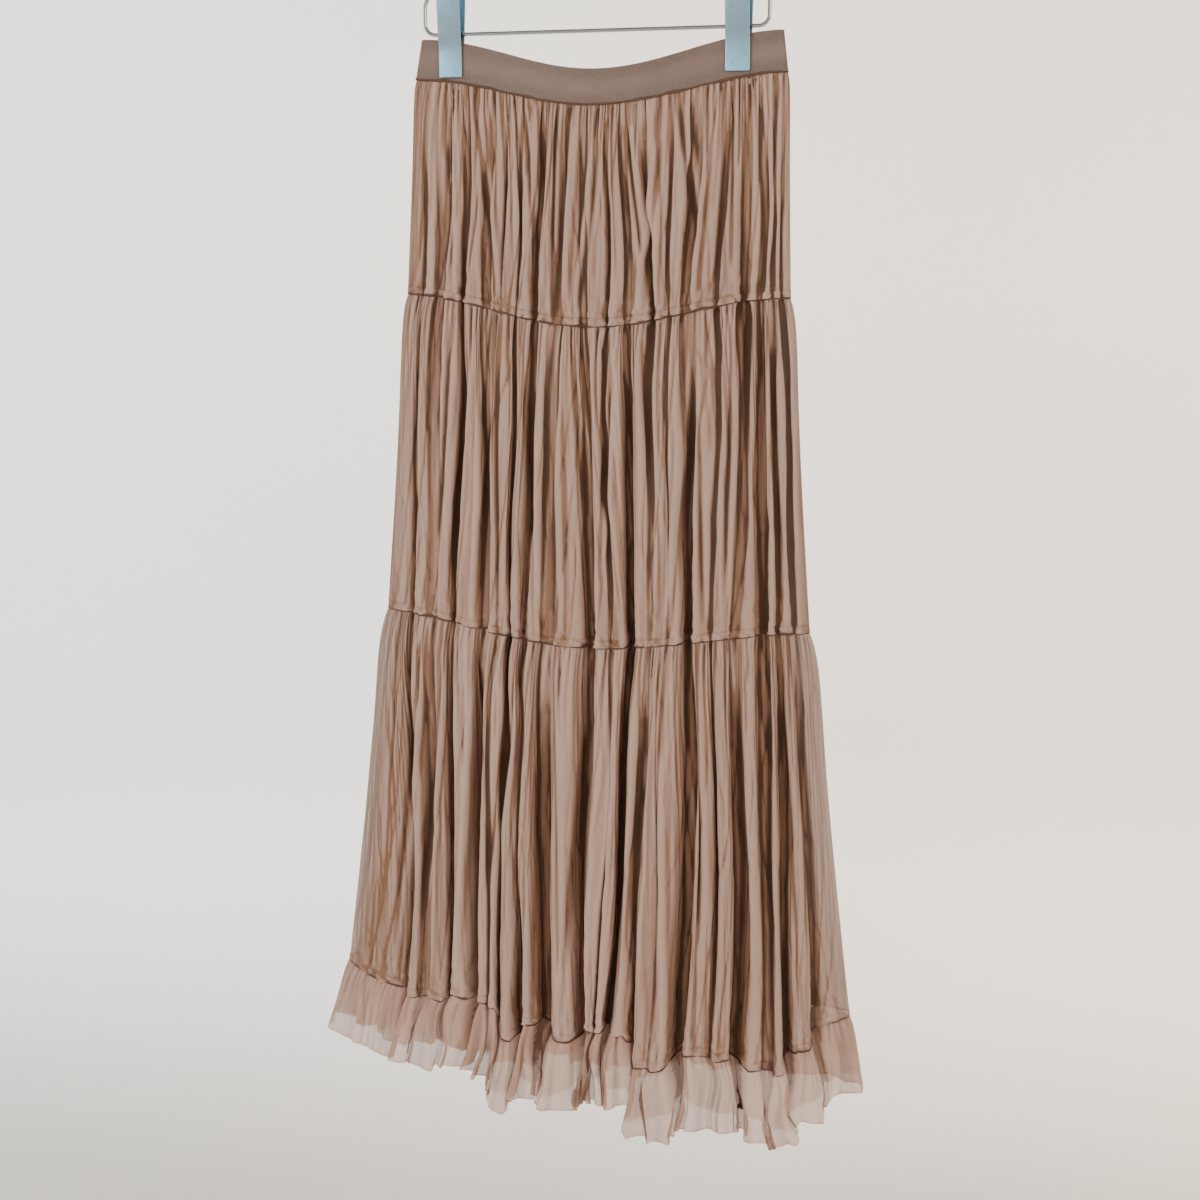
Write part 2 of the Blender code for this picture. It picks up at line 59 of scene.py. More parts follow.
# Levels of the skirt, top to bottom. side_z is the height at the side seams, dip how much lower
# the middle hangs, half_width from the middle to a side seam, shift the middle's place in X,
# half_depth from the middle of the section to its front, forward how far the whole section
# swings to the front at its middle, pinch how much the section is held flat by the clips.
LEVEL_COLUMNS = ("side_z", "dip", "half_width", "shift", "half_depth", "forward", "pinch")
LEVELS = {
    "band_top": (-153.5, 28.0, 161.5, 4.5, 8.5, 0.0, 1.0),
    "waist": (-187.0, 24.0, 166.5, 3.5, 9.5, 0.0, 1.0),
    "seam_1": (-372.5, 26.0, 175.0, 0.5, 20.0, 0.0, 0.0),
    "seam_2": (-661.0, 20.0, 199.0, -1.0, 30.0, 3.0, 0.0),
    "hem": (-1012.0, 26.0, 245.0, -3.0, 50.0, 36.0, 0.0),
    "edge": (-1080.0, 24.0, 261.0, -7.0, 54.0, 39.0, 0.0),
}

# Sections: the power of their superellipse, and where the clips hold them flat, half their depth,
# the share of the width that swells in the middle, the power it swells by and the end's radius
SECTION_POWER = 2.4
PINCHED_HALF_DEPTH = 2.2
PINCH_SPAN = 0.66
PINCH_EASE = 1.5
END_RADIUS = 2.5

# The power by which columns crowd towards the side seams, and how many points an even spacing
# along the cloth is measured with
END_CROWDING = 1.6
FINE_STEPS = 6001

# The deepest that a fold goes, as a share of its section's half depth and short of the middle
DEEPEST_SHARE = 0.64
FOLD_CLEARANCE = 2.0

# Knots of the smooth random curves and reliefs, and how far their places are moved to stay
# above zero
CURVE_KNOTS = 4096
CURVE_MOVED = 1000.0
RELIEF_KNOTS = 512
RELIEF_MOVED = 200.0

# Folds of the front, left to right. The first four numbers are the fold's place in X at the
# waist, at both seams and at the hem, the next six its depth halfway down a tier and at the
# seam below it, then the flat share of its floor, how far the floor leans to the right, and how
# far the hem hangs below its level in the lobe to the fold's right.
FOLD_COLUMNS = ("waist", "seam_1", "seam_2", "hem", "tier_1", "low_1", "tier_2", "low_2",
                "tier_3", "low_3", "floor", "lean", "hang")
FRONT_FOLDS = (
    (-153, -157, -170, -166, 3, 3, 14, 8, 22, 16, 0.1, 0.0, 0),
    (-137, -143, -148, -147, 6, 4, 3, 2, 9, 5, 0.5, 0.3, -8),
    (-119, -119, -126, -117, 8, 9, 15, 9, 20, 12, 0.1, -0.1, -20),
    (-95, -93, -94, -88, 5, 4, 12, 8, 28, 26, 0.45, 0.2, -24),
    (-82, -80, -80, -75, 5, 1, 2, 1, 3, 4, 0.1, 0.3, -22),
    (-67, -66, -69, -64, 5, 3, 9, 15, 10, 12, 0.1, -0.15, 6),
    (-44, -51, -58, -47, 10, 8, 15, 8, 9, 22, 0.3, 0.2, -14),
    (-31, -27, -35, -22, 5, 3, 5, 3, 29, 32, 0.4, -0.1, -4),
    (-8, -4, 7, 18, 5, 5, 9, 15, 32, 27, 0.3, 0.1, -16),
    (11, 16, 26, 28, 6, 6, 7, 2, 4, 6, 0.1, 0.3, -16),
    (25, 36, 46, 40, 5, 3, 20, 22, 27, 25, 0.3, -0.15, -13),
    (42, 57, 62, 60, 9, 9, 3, 1, 8, 14, 0.2, 0.3, 18),
    (66, 73, 78, 78, 4, 2, 3, 1, 2, 1, 0.1, 0.1, 22),
    (88, 85, 93, 98, 7, 4, 13, 18, 34, 36, 0.4, 0.2, 11),
    (116, 113, 116, 131, 6, 4, 4, 3, 13, 6, 0.1, 0.3, 20),
    (131, 139, 137, 157, 9, 9, 5, 3, 17, 24, 0.4, -0.15, 34),
    (145, 150, 162, 182, 3, 3, 18, 13, 13, 7, 0.5, 0.2, 42),
    (155, 161, 174, 201, 3, 2, 9, 5, 20, 20, 0.3, 0.0, 23),
    (163, 168, 188, 222, 3, 2, 4, 3, 12, 14, 0.2, 0.0, 0),
)

# The back's folds are the front's in mirror image, drifting sideways across the skirt by up to
# the shift, deeper or shallower in turn, and with less of the hang.
BACK_SHIFT = 7.0
BACK_DRIFT = 53.0
BACK_DEPTH = 0.78
BACK_DEPTH_SWING = 0.16
BACK_PHASE = 2.3
BACK_HANG = 0.6

# Tiers: CAD node, level above, level below, fold columns above, halfway and below, how far the
# cloth puffs out under the seam, the share of the hang at its foot, the space between columns,
# and the cut of half the tier. Then the share of the way down where the puff is whole.
TIERS = (
    ("tier_1", "waist", "seam_1", (None, "tier_1", "low_1"), 1.0, 0.0, 0.85, (500, 200)),
    ("tier_2", "seam_1", "seam_2", ("low_1", "tier_2", "low_2"), 3.0, 0.0, 0.95, (600, 303)),
    ("tier_3", "seam_2", "hem", ("low_2", "tier_3", "low_3"), 4.5, 1.0, 1.25, (950, 365)),
)
SHOULDER_REACH = 0.12

# How far the tiers are set in at a seam, and how quickly that ends below it
SEAM_SET_IN = 1.3
SET_IN_REACH = 3.0

# Share of the way down where the columns lie evenly, then the stretch of close rows below the
# upper seam and above the lower one, and the space between rows in each and between them
EVEN_ROW = 0.7
CLOSE_ROWS = (26.0, 14.0)
ROW_SPACES = (1.6, 1.3, 4.5)

# Seam lines: name, level above, level below, fold column at the level, and share of the hang
SEAMS = (
    ("seam_waist", "waist", "seam_1", None, 0.0),
    ("seam_upper", "seam_1", "seam_2", "low_1", 0.0),
    ("seam_lower", "seam_2", "hem", "low_2", 0.0),
    ("seam_hem", "hem", "edge", "low_3", 1.0),
)

# Half the height of a seam line, how far it lies in and bulges out, how far it sways up and down
# and swells, each with its spacing, and its points along and across
SEAM_LINE = 1.0
SEAM_LINE_IN = 0.39
SEAM_BULGE = 0.7
SEAM_SWAY = (0.5, 9.0)
SEAM_SWELL = (0.4, 14.0)
SEAM_POINTS = 1400
SEAM_ROWS = 5

# Seeds of the back's tiers, past the front's, and of the ruffle for each side
BACK_SEED = 5000
RUFFLE_SEEDS = {-1: 900, 1: 950}

# How far the folds waver between their seams, the share of it that swings back, and the seed for
# each level below
WAVER = 4.2
WAVER_SWING = 0.6
MEAN_HALF_WIDTH = 200.0
WAVER_SEEDS = {"waist": 1, "seam_1": 2, "seam_2": 3, "hem": 5, "edge": 6}

# How square the lobes are across: 2 is round
LOBE_POWER = 2.7

# The hang changes from lobe to lobe across a fold. In steps, it reaches past the floor of a fold
# that is deeper than a shallow one, and a little to each side of a shallow one.
SHALLOW_FOLD = 6.0
NARROWEST_FLOOR = 0.06
LOBE_EDGE = 0.16
SHALLOW_EDGE = 0.08

# Gathers under a seam, finest first: space between pleats, depth, how far down they reach by
# themselves and for each millimetre of the tier's length, how far they drift sideways for each
# millimetre down, and how much the pleats differ in tone, at random and with painted shade on
# their right sides.
GATHERS = (
    (4.8, 3.0, 21.0, 0.0, 0.05, 0.0),
    (6.3, 1.7, 20.0, 0.75, 0.13, 0.2),
    (8.5, 2.3, 48.0, 0.05, 0.10, 0.25),
    (15.0, 2.5, 0.0, 0.46, 0.15, 0.4),
    (27.0, 2.8, 0.0, 1.0, 0.15, 0.5),
)

# Share of their depth that gathers keep at the seam and at the tier's foot, and the stretch over
# which they grow to the whole of it
SEAM_TROUGH = 0.3
SEAM_STRETCH = 4.0
FOOT_TROUGH = 0.12
GATHER_FOOT = 70.0

# How the pleats differ, from the least to the most: bend to one side, share of the depth before
# its power, and share of the reach. Then how unevenly they are spaced, and over how many of
# them, how far apart their drift changes, the power of a ridge's sine, and how many pleats there
# are before they come round again.
SPREADS = ((0.55, 1.8), (0.15, 1.0), (0.35, 1.6))
DEPTH_POWER = 1.5
UNEVEN_SPACING = 0.9
UNEVEN_OVER = 3.1
DRIFT_SPACING = 70.0
PLEAT_EDGE = 0.75
POOL = 997

# What the painted shade on the right side of a ridge, and the random tone of a whole lobe, add to
# the tone at most
RIGHT_SIDE_SHADE = 0.5
LOBE_TONE = 0.7

# Creases listed for the front: tier, x and share of the way down where each starts and
# ends, its depth (below zero for a ridge), and half its width.
CREASES = (
    (0, -105, 0.15, -86, 0.95, 1.5, 3.0),
    (0, -133, 0.30, -128, 1.00, 1.0, 2.5),
    (0, -60, 0.05, -52, 0.60, 1.6, 3.0),
    (0, -20, 0.10, -30, 0.98, 1.7, 3.2),
    (0, 4, 0.15, -12, 0.90, -1.4, 3.0),
    (0, 30, 0.10, 50, 0.75, 2.0, 3.4),
    (0, 58, 0.20, 44, 0.95, -1.4, 2.8),
    (0, 77, 0.05, 96, 0.70, 1.5, 3.0),
    (0, 102, 0.30, 92, 0.95, -1.2, 2.6),
    (0, 122, 0.10, 126, 0.85, 1.3, 2.6),
    (1, -128, 0.05, -142, 0.75, 1.8, 3.2),
    (1, -110, 0.10, -132, 0.95, 1.6, 3.0),
    (1, -98, 0.35, -108, 1.00, -1.5, 3.0),
    (1, -55, 0.10, -48, 0.90, 1.6, 3.4),
    (1, -28, 0.20, -20, 0.98, -1.6, 3.6),
    (1, -12, 0.05, 0, 0.60, 1.7, 3.0),
    (1, 22, 0.10, 14, 0.80, 1.4, 2.8),
    (1, 52, 0.05, 64, 0.65, 1.9, 3.4),
    (1, 92, 0.10, 76, 0.95, -1.8, 3.6),
    (1, 100, 0.30, 108, 0.95, 1.6, 3.2),
    (1, 128, 0.15, 126, 0.90, 1.6, 3.0),
    (2, -158, 0.05, -185, 0.90, 1.6, 4.0),
    (2, -136, 0.10, -152, 0.80, 1.8, 3.6),
    (2, -104, 0.10, -112, 0.95, -1.8, 3.8),
    (2, -60, 0.05, -84, 0.70, 1.9, 4.0),
    (2, -50, 0.30, -58, 0.98, -1.8, 4.2),
    (2, -26, 0.10, -12, 0.85, 1.8, 3.8),
    (2, 4, 0.20, -6, 0.95, 1.7, 3.6),
    (2, 34, 0.10, 30, 0.70, -1.6, 3.4),
    (2, 62, 0.10, 50, 0.90, 2.0, 4.2),
    (2, 76, 0.25, 88, 0.98, -2.0, 4.4),
    (2, 100, 0.05, 118, 0.75, 1.9, 4.0),
    (2, 112, 0.35, 112, 0.98, 1.7, 3.6),
    (2, 138, 0.10, 160, 0.90, 1.6, 3.8),
    (2, 176, 0.15, 206, 0.95, 1.5, 4.2),
)

# A crease swells and fades as this power of half a sine, and has a ridge beside it: its share of
# the depth, and its place in half widths
CREASE_SWELL = 0.6
CREASE_LIP = 0.45
CREASE_LIP_PLACE = 1.7

# Swells down the cloth: size, space across and down, and step of the seed
SWELLS = (
    (0.9, 16.0, 90.0, 0),
    (0.4, 6.0, 34.0, 1),
)

# Veins where the cloth was folded: size, slant, space across and down, power, step of the seed
VEINS = (
    (1.0, 0.12, 13.0, 130.0, 7, 2),
    (0.6, -0.05, 7.5, 75.0, 6, 5),
)

# Above a foot seam, wrinkles that are pushed together, and pinches between them: size, slant,
# how far up they reach, space across and down, and for the pinches their power
PUSHED = (1.1, 0.8, 30.0, 12.0, 5.0)
PINCHED = (0.9, 0.0, 34.0, 17.0, 9.0, 6)

# Swells and creases keep this far from the upper seam, the foot seam and the side seams
CLEAR_TOP = 18.0
CLEAR_FOOT = 14.0
END_FADE = 14.0

# Seam allowance behind the foot of each tier: its height, how far it stands out, how wide its
# edge is, and the size and spacing of its wrinkles
ALLOWANCE = 6.5
ALLOWANCE_RISE = 0.4
ALLOWANCE_EDGE = 1.6
WRINKLE = 0.55
WRINKLE_SPACES = (5.0, 2.2)

# What the finish reads. It paints shade in recesses and on flanks, and by the ridge mark it paints
# troughs darker and ridges paler, partly doubled cloth and partly highlight. Recess: the depth
# that counts as whole, by itself and as a share of the deepest that the fold could be. Ridge, fine
# and
# broad: the width that a height is smoothed over to compare it with, the height that counts as a
# whole ridge, and the limits of the broad one. Flank: how nearly straight out a level normal
# points, and how much less is a whole flank.
RECESS_BASE = 3.0
RECESS_SHARE = 0.66
FINE_WIDTH = 2.6
FINE_RIDGE = 1.6
BROAD_WIDTH = 8.0
BROAD_RIDGE = 7.0
BROAD_LIMITS = (-0.2, 0.06)
FLANK_LEVEL = 0.96
FLANK_SPAN = 0.66

# Streaks of the dye: share, space across and down. Then the shares of the pleats' tone, with its
# painted shade, and of the dark lines, painted shade of fine creases, the lines' spaces and power,
# and the same for the pale lines and their slant.
STREAKS = ((0.35, 26.0, 400.0), (0.35, 6.5, 260.0), (0.45, 2.2, 150.0))
TONE_SHARE = 0.8
DARK_LINE = 0.9
DARK_LINES = (5.5, 190.0, 5)
PALE_LINE = 0.14
PALE_LINES = (8.0, 210.0, 8)
PALE_SLANT = 0.06

# Marks at the seams: the recess under a seam, painted shade there, and how far it reaches, how
# much less there is over the allowance, and the line at the allowance's edge and half its width
SEAM_RECESS = 0.4
SEAM_RECESS_REACH = 2.5
ALLOWANCE_RECESS = 0.1
ALLOWANCE_LINE = 0.16
ALLOWANCE_LINE_WIDTH = 0.9

# Cover of the tulle: over the skirt, at its side seams and how far in from them, and above what
# it counts as whole
COVER = 1.0
SIDE_COVER = (0.97, 0.9, 0.72)
SIDE_REACH = 0.14
WHOLLY_COVERED = 0.995

# Hem ruffle: waves for each lobe and their depth, shares of the folds' depth and floor left at
# its edge, how far it puffs out under the seam and over what share of the way, how quickly its
# set-in ends, and how far its lobes flare
RUFFLE_WAVES = 1.25
RUFFLE_WAVE_DEPTH = 5.0
RUFFLE_FOLD_LEFT = 0.6
RUFFLE_FLOOR_LEFT = 0.2
RUFFLE_PUFF = 2.0
RUFFLE_PUFF_REACH = 0.3
RUFFLE_SET_IN = 25.0
FLARE = 5.0

# The ruffle's rows: how many down to a share of the way, and how many from there to the edge;
# and the space between its columns
RUFFLE_UPPER = 0.25
RUFFLE_ROWS = (14, 26)
RUFFLE_COLUMN = 1.1

# The ruffle's gathers: space, depth, reach and drift. Its tucks: space, depth and how far down
# they are whole. Its flutter: size, space across and down, and how far down it is whole.
RUFFLE_GATHERS = ((6.5, 2.4, 18.0, 0.12), (14.0, 3.0, 50.0, 0.15))
TUCK_SPACING = 17.0
TUCK_DEPTH = 6.5
TUCKS_WHOLE = 60.0
FLUTTERS = ((1.6, 11.0, 55.0), (3.4, 26.0, 70.0))
FLUTTER_WHOLE = 45.0

# The ruffle's uneven edge: how far it swings for each lobe and in ripples, and their spacing
EDGE_SWING = 4.5
EDGE_RIPPLE = 1.6
EDGE_RIPPLE_SPACING = 12.0

# The ruffle's cover where it is doubled and where it is single, what its recesses add, the
# height of the single part, how wide the change between them is, and how far it wanders in
# ripples, and their spacing, and with each lobe
RUFFLE_COVER = 0.86
RUFFLE_EDGE_COVER = 0.7
RECESS_COVER = 0.12
RUFFLE_SINGLE = 21.0
SINGLE_BLEND = 2.0
SINGLE_RIPPLE = 5.0
SINGLE_RIPPLE_SPACING = 24.0
SINGLE_SWING = 7.0

# The line at the ruffle's edge: its height and how soft it starts, and what it adds to the
# recess and to the cover
EDGE_LINE = 1.8
EDGE_LINE_BLEND = 0.8
EDGE_LINE_RECESS = 0.2
EDGE_LINE_COVER = 0.25

# The ruffle's marks: shares of the recess and the flank, both painted shade, that it keeps, the
# least ridge, and the recess under the seam, painted shade there, and how far it reaches
RUFFLE_RECESS = 0.55
RUFFLE_FLANK = 0.6
RUFFLE_LEAST_RIDGE = 0.3
RUFFLE_SEAM_RECESS = 0.5
RUFFLE_SEAM_REACH = 3.0

# Waistband: height, wall, how far it is set in, how uneven it is and over what spaces, the share
# of its height that each edge takes to turn over, the rows of a flat face and around an edge,
# and the columns
BAND_HEIGHT = 33.0
BAND_WALL = 1.2
BAND_SET_IN = 0.35
BAND_UNEVEN = 0.21
BAND_UNEVEN_SPACES = (24.0, 30.0)
BAND_ROUND = 0.022
BAND_ROWS = 16
BAND_AROUND = 4
BAND_COLUMNS = 360

# Clips: place of each in X, sizes of the plates, and height of each bend of a plate and how far
# its inner face stands from the middle there
CLIP_X = {"left": -129.0, "right": 127.0}
PLATE_HALF_WIDTH = 10.6
PLATE_WALL = 1.2
PLATE_CROWN = 0.5
PLATE_CORNER = 1.5
PLATE_LINE = ((-186.0, 2.65), (-174.0, 2.65), (-161.0, 2.65), (-154.0, 4.3), (-145.0, 4.9),
              (-130.0, 6.5), (-106.0, 8.5))
PLATE_BEND = 2.5
PLATE_STEP = 0.5

# Rows of a plate at each end, measured from it, and rows between; points across a face, and
# around an edge
PLATE_END_ROWS = (0.0, 0.05, 0.15, 0.3)
PLATE_END = 0.6
PLATE_ROWS = 150
PLATE_ACROSS = 17
PLATE_AROUND = 5

# Camera, in metres and degrees, with its lens and the width of its frame in millimetres
CAMERA_PLACE = (0.497, -1.605, -0.308)
CAMERA_YAW = 17.0
CAMERA_PITCH = -11.31
LENS = 57.0
FRAME_WIDTH = 36.0

# Stage, in metres: height of the floor, radius, bend and height of its wall, columns around it,
# rows of the bend and of the flat floor, and the hole in its middle
FLOOR_Z = -1.45
BOWL_RADIUS = 3.4
BOWL_BEND = 1.0
BOWL_HEIGHT = 3.4
BOWL_COLUMNS = 97
BEND_ROWS = 14
FLAT_ROWS = 7
BOWL_HOLE = 0.001
SKY = (0.93, 0.95, 1.0)
SKY_STRENGTH = 0.36

# Finishes: the length of Blender's wave texture at a scale of 1, the space between the net's
# threads and between the knit's ribs, how far from the band's middle its pale stretch starts and
# is whole, and the heights between which the plates' painted reflection turns grey and brightens
# again, all in metres
WAVE_LENGTH = math.pi / 10.0
NET_SPACING = 0.0012
KNIT_RIB = 0.0009
BAND_PALE = (0.0105, 0.003)
PLATE_REFLECTION_GREYS = (-0.183, -0.152)
PLATE_REFLECTION_BRIGHTENS = (-0.148, -0.112)

# The marks that every tulle finish reads, the share of light that passes through the tiers and
# through the ruffle, and how much paler the ruffle is on its ridges, partly doubled cloth and
# partly painted highlight
TULLE_MARKS = ("streak_and_shade", "flank_shade", "recess", "ridge")
TULLE_GLOW = 0.12
RUFFLE_GLOW = 0.3
RUFFLE_PALER = 1.25

# Colours of the seams' dark lines, painted shade, and of the stage
SEAM_SHADE = (0.085, 0.045, 0.03)
STAGE = (0.86, 0.85, 0.83)

# Lamps: place, what each is aimed at, size, power and colour
MIDDLE = (0.0, 0.0, -0.62)
LAMPS = (
    ("key", (-1.7, -2.0, 0.9), MIDDLE, (1.1, 1.1), 58.0, (1.0, 0.975, 0.95)),
    ("fill", (2.0, -1.2, 0.0), MIDDLE, (1.6, 1.6), 23.0, (1.0, 0.88, 0.76)),
    ("rim", (0.4, 2.0, 0.9), MIDDLE, (1.6, 1.6), 10.0, (1.0, 0.98, 0.95)),
    ("wall_left", (-1.4, 1.0, 0.2), (-1.6, 3.4, -1.0), (2.0, 2.0), 60.0, (0.96, 0.975, 1.0)),
    ("wall_right", (1.2, 1.0, 0.2), (1.3, 3.4, -1.0), (2.0, 2.0), 82.0, (1.0, 0.76, 0.53)),
)


class SkirtSizes(bpy.types.PropertyGroup):
    """Sizes that a user would change."""
    gather_depth: FloatProperty(name="Gather depth", description="How deep the fine gathers are",
                                default=1.0, min=0.0, max=2.0)
    crease_depth: FloatProperty(name="Crease depth", description="How deep the long creases are",
                                default=1.9, min=0.0, max=3.0)
    lean: FloatProperty(name="Fold lean", description="How far the folds lean to one side",
                        default=1.0, min=0.0, max=2.0)


def colour(name, description, default):
    """A colour that a user would change."""
    return FloatVectorProperty(name=name, description=description, size=3, subtype="COLOR",
                               default=default, min=0.0, max=1.0)


class SkirtColours(bpy.types.PropertyGroup):
    """Colours that a user would change."""
    lit: colour("Tulle", "The tulle on its lobes", (0.41, 0.265, 0.205))
    # Warm also carries painted shade: the pleats' right sides and thin crease lines.
    warm: colour("Tulle streaks", "The tulle's warm streaks", (0.215, 0.112, 0.066))
    # Painted shade: the warm brown on the flanks of the folds.
    flank_shade: colour("Tulle flanks", "The tulle on the sides of its folds", (0.30, 0.17, 0.108))
    # Painted shade deep in the folds; the net's threads are tinted towards it too.
    deep: colour("Tulle folds", "The tulle deep in its folds", (0.23, 0.122, 0.074))
    # Pale on ridges: partly the doubled cloth at an edge, partly painted highlight.
    edge: colour("Tulle edges", "The tulle where it doubles at an edge", (0.56, 0.40, 0.325))
    ruffle: colour("Ruffle", "The sheer strip at the hem", (0.52, 0.33, 0.25))
    band: colour("Waistband", "The knit band", (0.155, 0.108, 0.088))
    wire: colour("Wire", "The hanger's wire", (0.38, 0.38, 0.40))
    # The clips' two colours are a painted reflection: bright blue at the lip, greyer higher up.
    plate: colour("Clip lips", "The clips' plates at the lip", (0.27, 0.57, 0.76))
    plate_top_reflection: colour("Clip tops", "The clips' plates higher up", (0.22, 0.335, 0.42))


def ease(share):
    """Smooth step from 0 to 1: three squares less two cubes."""
    share = np.clip(share, 0.0, 1.0)
    return share * share * (3.0 - 2.0 * share)


def wander(where, spacing, seed):
    """Smooth random curve from -1 to 1: knots at every spacing, joined by eased steps."""
    knots = np.random.default_rng(seed).uniform(-1.0, 1.0, CURVE_KNOTS)
    place = np.asarray(where, float) / spacing + CURVE_MOVED
    index = np.floor(place).astype(int)
    share = ease(place - index)
    here, beyond = knots[index % CURVE_KNOTS], knots[(index + 1) % CURVE_KNOTS]
    return here * (1.0 - share) + beyond * share


def crumple(across, down, across_spacing, down_spacing, seed):
    """Smooth random relief from -1 to 1: a lattice of knots, eased both ways between them."""
    size = RELIEF_KNOTS
    knots = np.random.default_rng(seed).uniform(-1.0, 1.0, (size, size))
    u = np.asarray(across, float) / across_spacing + RELIEF_MOVED
    v = np.asarray(down, float) / down_spacing + RELIEF_MOVED
    u, v = np.broadcast_arrays(u, v)
    i, j = np.floor(u).astype(int), np.floor(v).astype(int)
    a, b = ease(u - i), ease(v - j)
    top = knots[i % size, j % size] * (1.0 - a) + knots[(i + 1) % size, j % size] * a
    low = knots[i % size, (j + 1) % size] * (1.0 - a) + knots[(i + 1) % size, (j + 1) % size] * a
    return top * (1.0 - b) + low * b


def level_rows(top, low, share):
    """The level values of each row: straight lines from the upper level to the lower one."""
    upper, lower = np.array(LEVELS[top]), np.array(LEVELS[low])
    rows = upper + (lower - upper) * share[:, None]
    return {name: rows[:, [number]] for number, name in enumerate(LEVEL_COLUMNS)}


def level_height(values, place):
    """Height of a level at place -1 to 1 across it: a raised cosine hangs between the sides."""
    return values["side_z"] - values["dip"] * (1.0 + np.cos(np.pi * place)) / 2.0


def half_depth(values, place):
    """Half the depth of a section: a superellipse, or nearly flat where the clips hold it."""
    inside = np.clip(1.0 - np.abs(place) ** SECTION_POWER, 0.0, 1.0)
    free = values["half_depth"] * np.sqrt(inside)
    swell = np.clip(1.0 - (place / PINCH_SPAN) ** 2, 0.0, 1.0) ** PINCH_EASE
    near_end = np.clip(1.0 - values["half_width"] * (1.0 - np.abs(place)) / END_RADIUS, 0.0, 1.0)
    rounding = np.sqrt(1.0 - near_end ** 2)
    held = (PINCHED_HALF_DEPTH + (values["half_depth"] - PINCHED_HALF_DEPTH) * swell) * rounding
    return free + (held - free) * values["pinch"]


def section(values, place, side):
    """Points of the unfolded sections, side -1 for the front and +1 for the back."""
    middle = -values["forward"] * (1.0 - place ** 2)
    x = values["shift"] + values["half_width"] * place
    y = middle + side * half_depth(values, place)
    return np.stack([x, y], axis=-1)


def along_rows(points):
    """Unit directions along each row of points."""
    step = np.gradient(points, axis=1)
    return step / np.maximum(np.linalg.norm(step, axis=2, keepdims=True), 1e-9)


def outward(points, side):
    """Unit normals of each row of points in the plane of X and Y, turned out of the skirt."""
    step = along_rows(points)
    step[:, 0] = (0.0, side)
    step[:, -1] = (0.0, -side)
    return np.stack([-step[..., 1], step[..., 0]], axis=-1) * side


def fold_table(side):
    """The folds of one half as a dictionary of columns, left to right."""
    rows = [dict(zip(FOLD_COLUMNS, row)) for row in FRONT_FOLDS]
    if side > 0:
        for number, row in enumerate(rows):
            for name in FOLD_COLUMNS[:4]:
                row[name] = -row[name] + BACK_SHIFT * math.sin(row[name] / BACK_DRIFT)
            for name in FOLD_COLUMNS[4:10]:
                row[name] *= BACK_DEPTH + BACK_DEPTH_SWING * math.cos(BACK_PHASE * number)
        rows.reverse()
    return {name: np.array([row[name] for row in rows], float) for name in FOLD_COLUMNS}


def with_ends(values):
    """The folds' values with a zero for both side seams."""
    edge = np.zeros(values.shape[:-1] + (1,))
    return np.concatenate([edge, values, edge], axis=-1)


def fold_places(folds, top, low, share):
    """Places of the folds in each row, -1 to 1, with both side seams added at the ends. Between
    its seams each fold wavers to one side by half a sine and back by a whole one."""
    source = np.random.default_rng(WAVER_SEEDS[low])
    lean_out, swing = source.uniform(-WAVER, WAVER, (2, len(folds["waist"])))
    bow = np.sin(np.pi * share)[:, None] * lean_out
    wave = WAVER_SWING * np.sin(2.0 * np.pi * share)[:, None] * swing
    inner = (bow + wave) / MEAN_HALF_WIDTH
    for level, part in ((top, 1.0 - share), (low, share)):
        named = "hem" if level == "edge" else level
        half_width = LEVELS[named][LEVEL_COLUMNS.index("half_width")]
        inner = inner + part[:, None] * folds[named] / half_width
    edge = np.ones((len(share), 1))
    return np.concatenate([-edge, inner, edge], axis=1)


def column_places(steps, ends):
    """Place of each column in each row: even between folds, rounding into the side seams."""
    last = ends.shape[1] - 1
    index = np.minimum(np.floor(steps).astype(int), last - 1)
    share = steps - index
    share = np.where(index == 0, share ** END_CROWDING, share)
    share = np.where(index == last - 1, 1.0 - (1.0 - share) ** END_CROWDING, share)
    return ends[:, index] + (ends[:, index + 1] - ends[:, index]) * share


def fold_drop(steps, depths, floors):
    """How far the cloth lies inside its section: squarish lobes, superellipses across, that meet
    in the folds."""
    nearest = np.rint(steps).astype(int)
    away = 2.0 * np.abs(steps - nearest)
    floor = with_ends(floors)[..., nearest]
    rise = np.clip((away - floor) / (1.0 - floor), 0.0, 1.0)
    square = (1.0 - (1.0 - rise) ** LOBE_POWER) ** (1.0 / LOBE_POWER)
    return with_ends(depths)[:, nearest] * (1.0 - square)


def hang_at(steps, folds, side):
    """How far each column hangs below its level: even across a lobe, and sloping in a fold."""
    lobes = np.array([0.0] + [row[FOLD_COLUMNS.index("hang")] for row in FRONT_FOLDS])
    if side > 0:
        lobes = lobes[::-1] * BACK_HANG
    deep = np.max([folds[name] for name in TIERS[2][3]], axis=0) > SHALLOW_FOLD
    floor = np.maximum(NARROWEST_FLOOR, folds["floor"] / 2.0)
    reaches = np.where(deep, floor + LOBE_EDGE, SHALLOW_EDGE)
    numbers = np.arange(1, len(lobes))
    edges = np.stack([numbers - reaches, numbers + reaches], axis=-1).ravel()
    values = np.stack([lobes[:-1], lobes[1:]], axis=-1).ravel()
    return np.interp(steps, edges, values)


def depth_rows(folds, names, share):
    """Fold depths of each row, eased from a tier's top to its middle and on to its foot."""
    top, middle, foot = (folds[name] if name else 0.0 * folds["waist"] for name in names)
    upper = top + (middle - top) * ease(share * 2.0)[:, None]
    lower = middle + (foot - middle) * ease(share * 2.0 - 1.0)[:, None]
    return np.where(share[:, None] < 0.5, upper, lower)


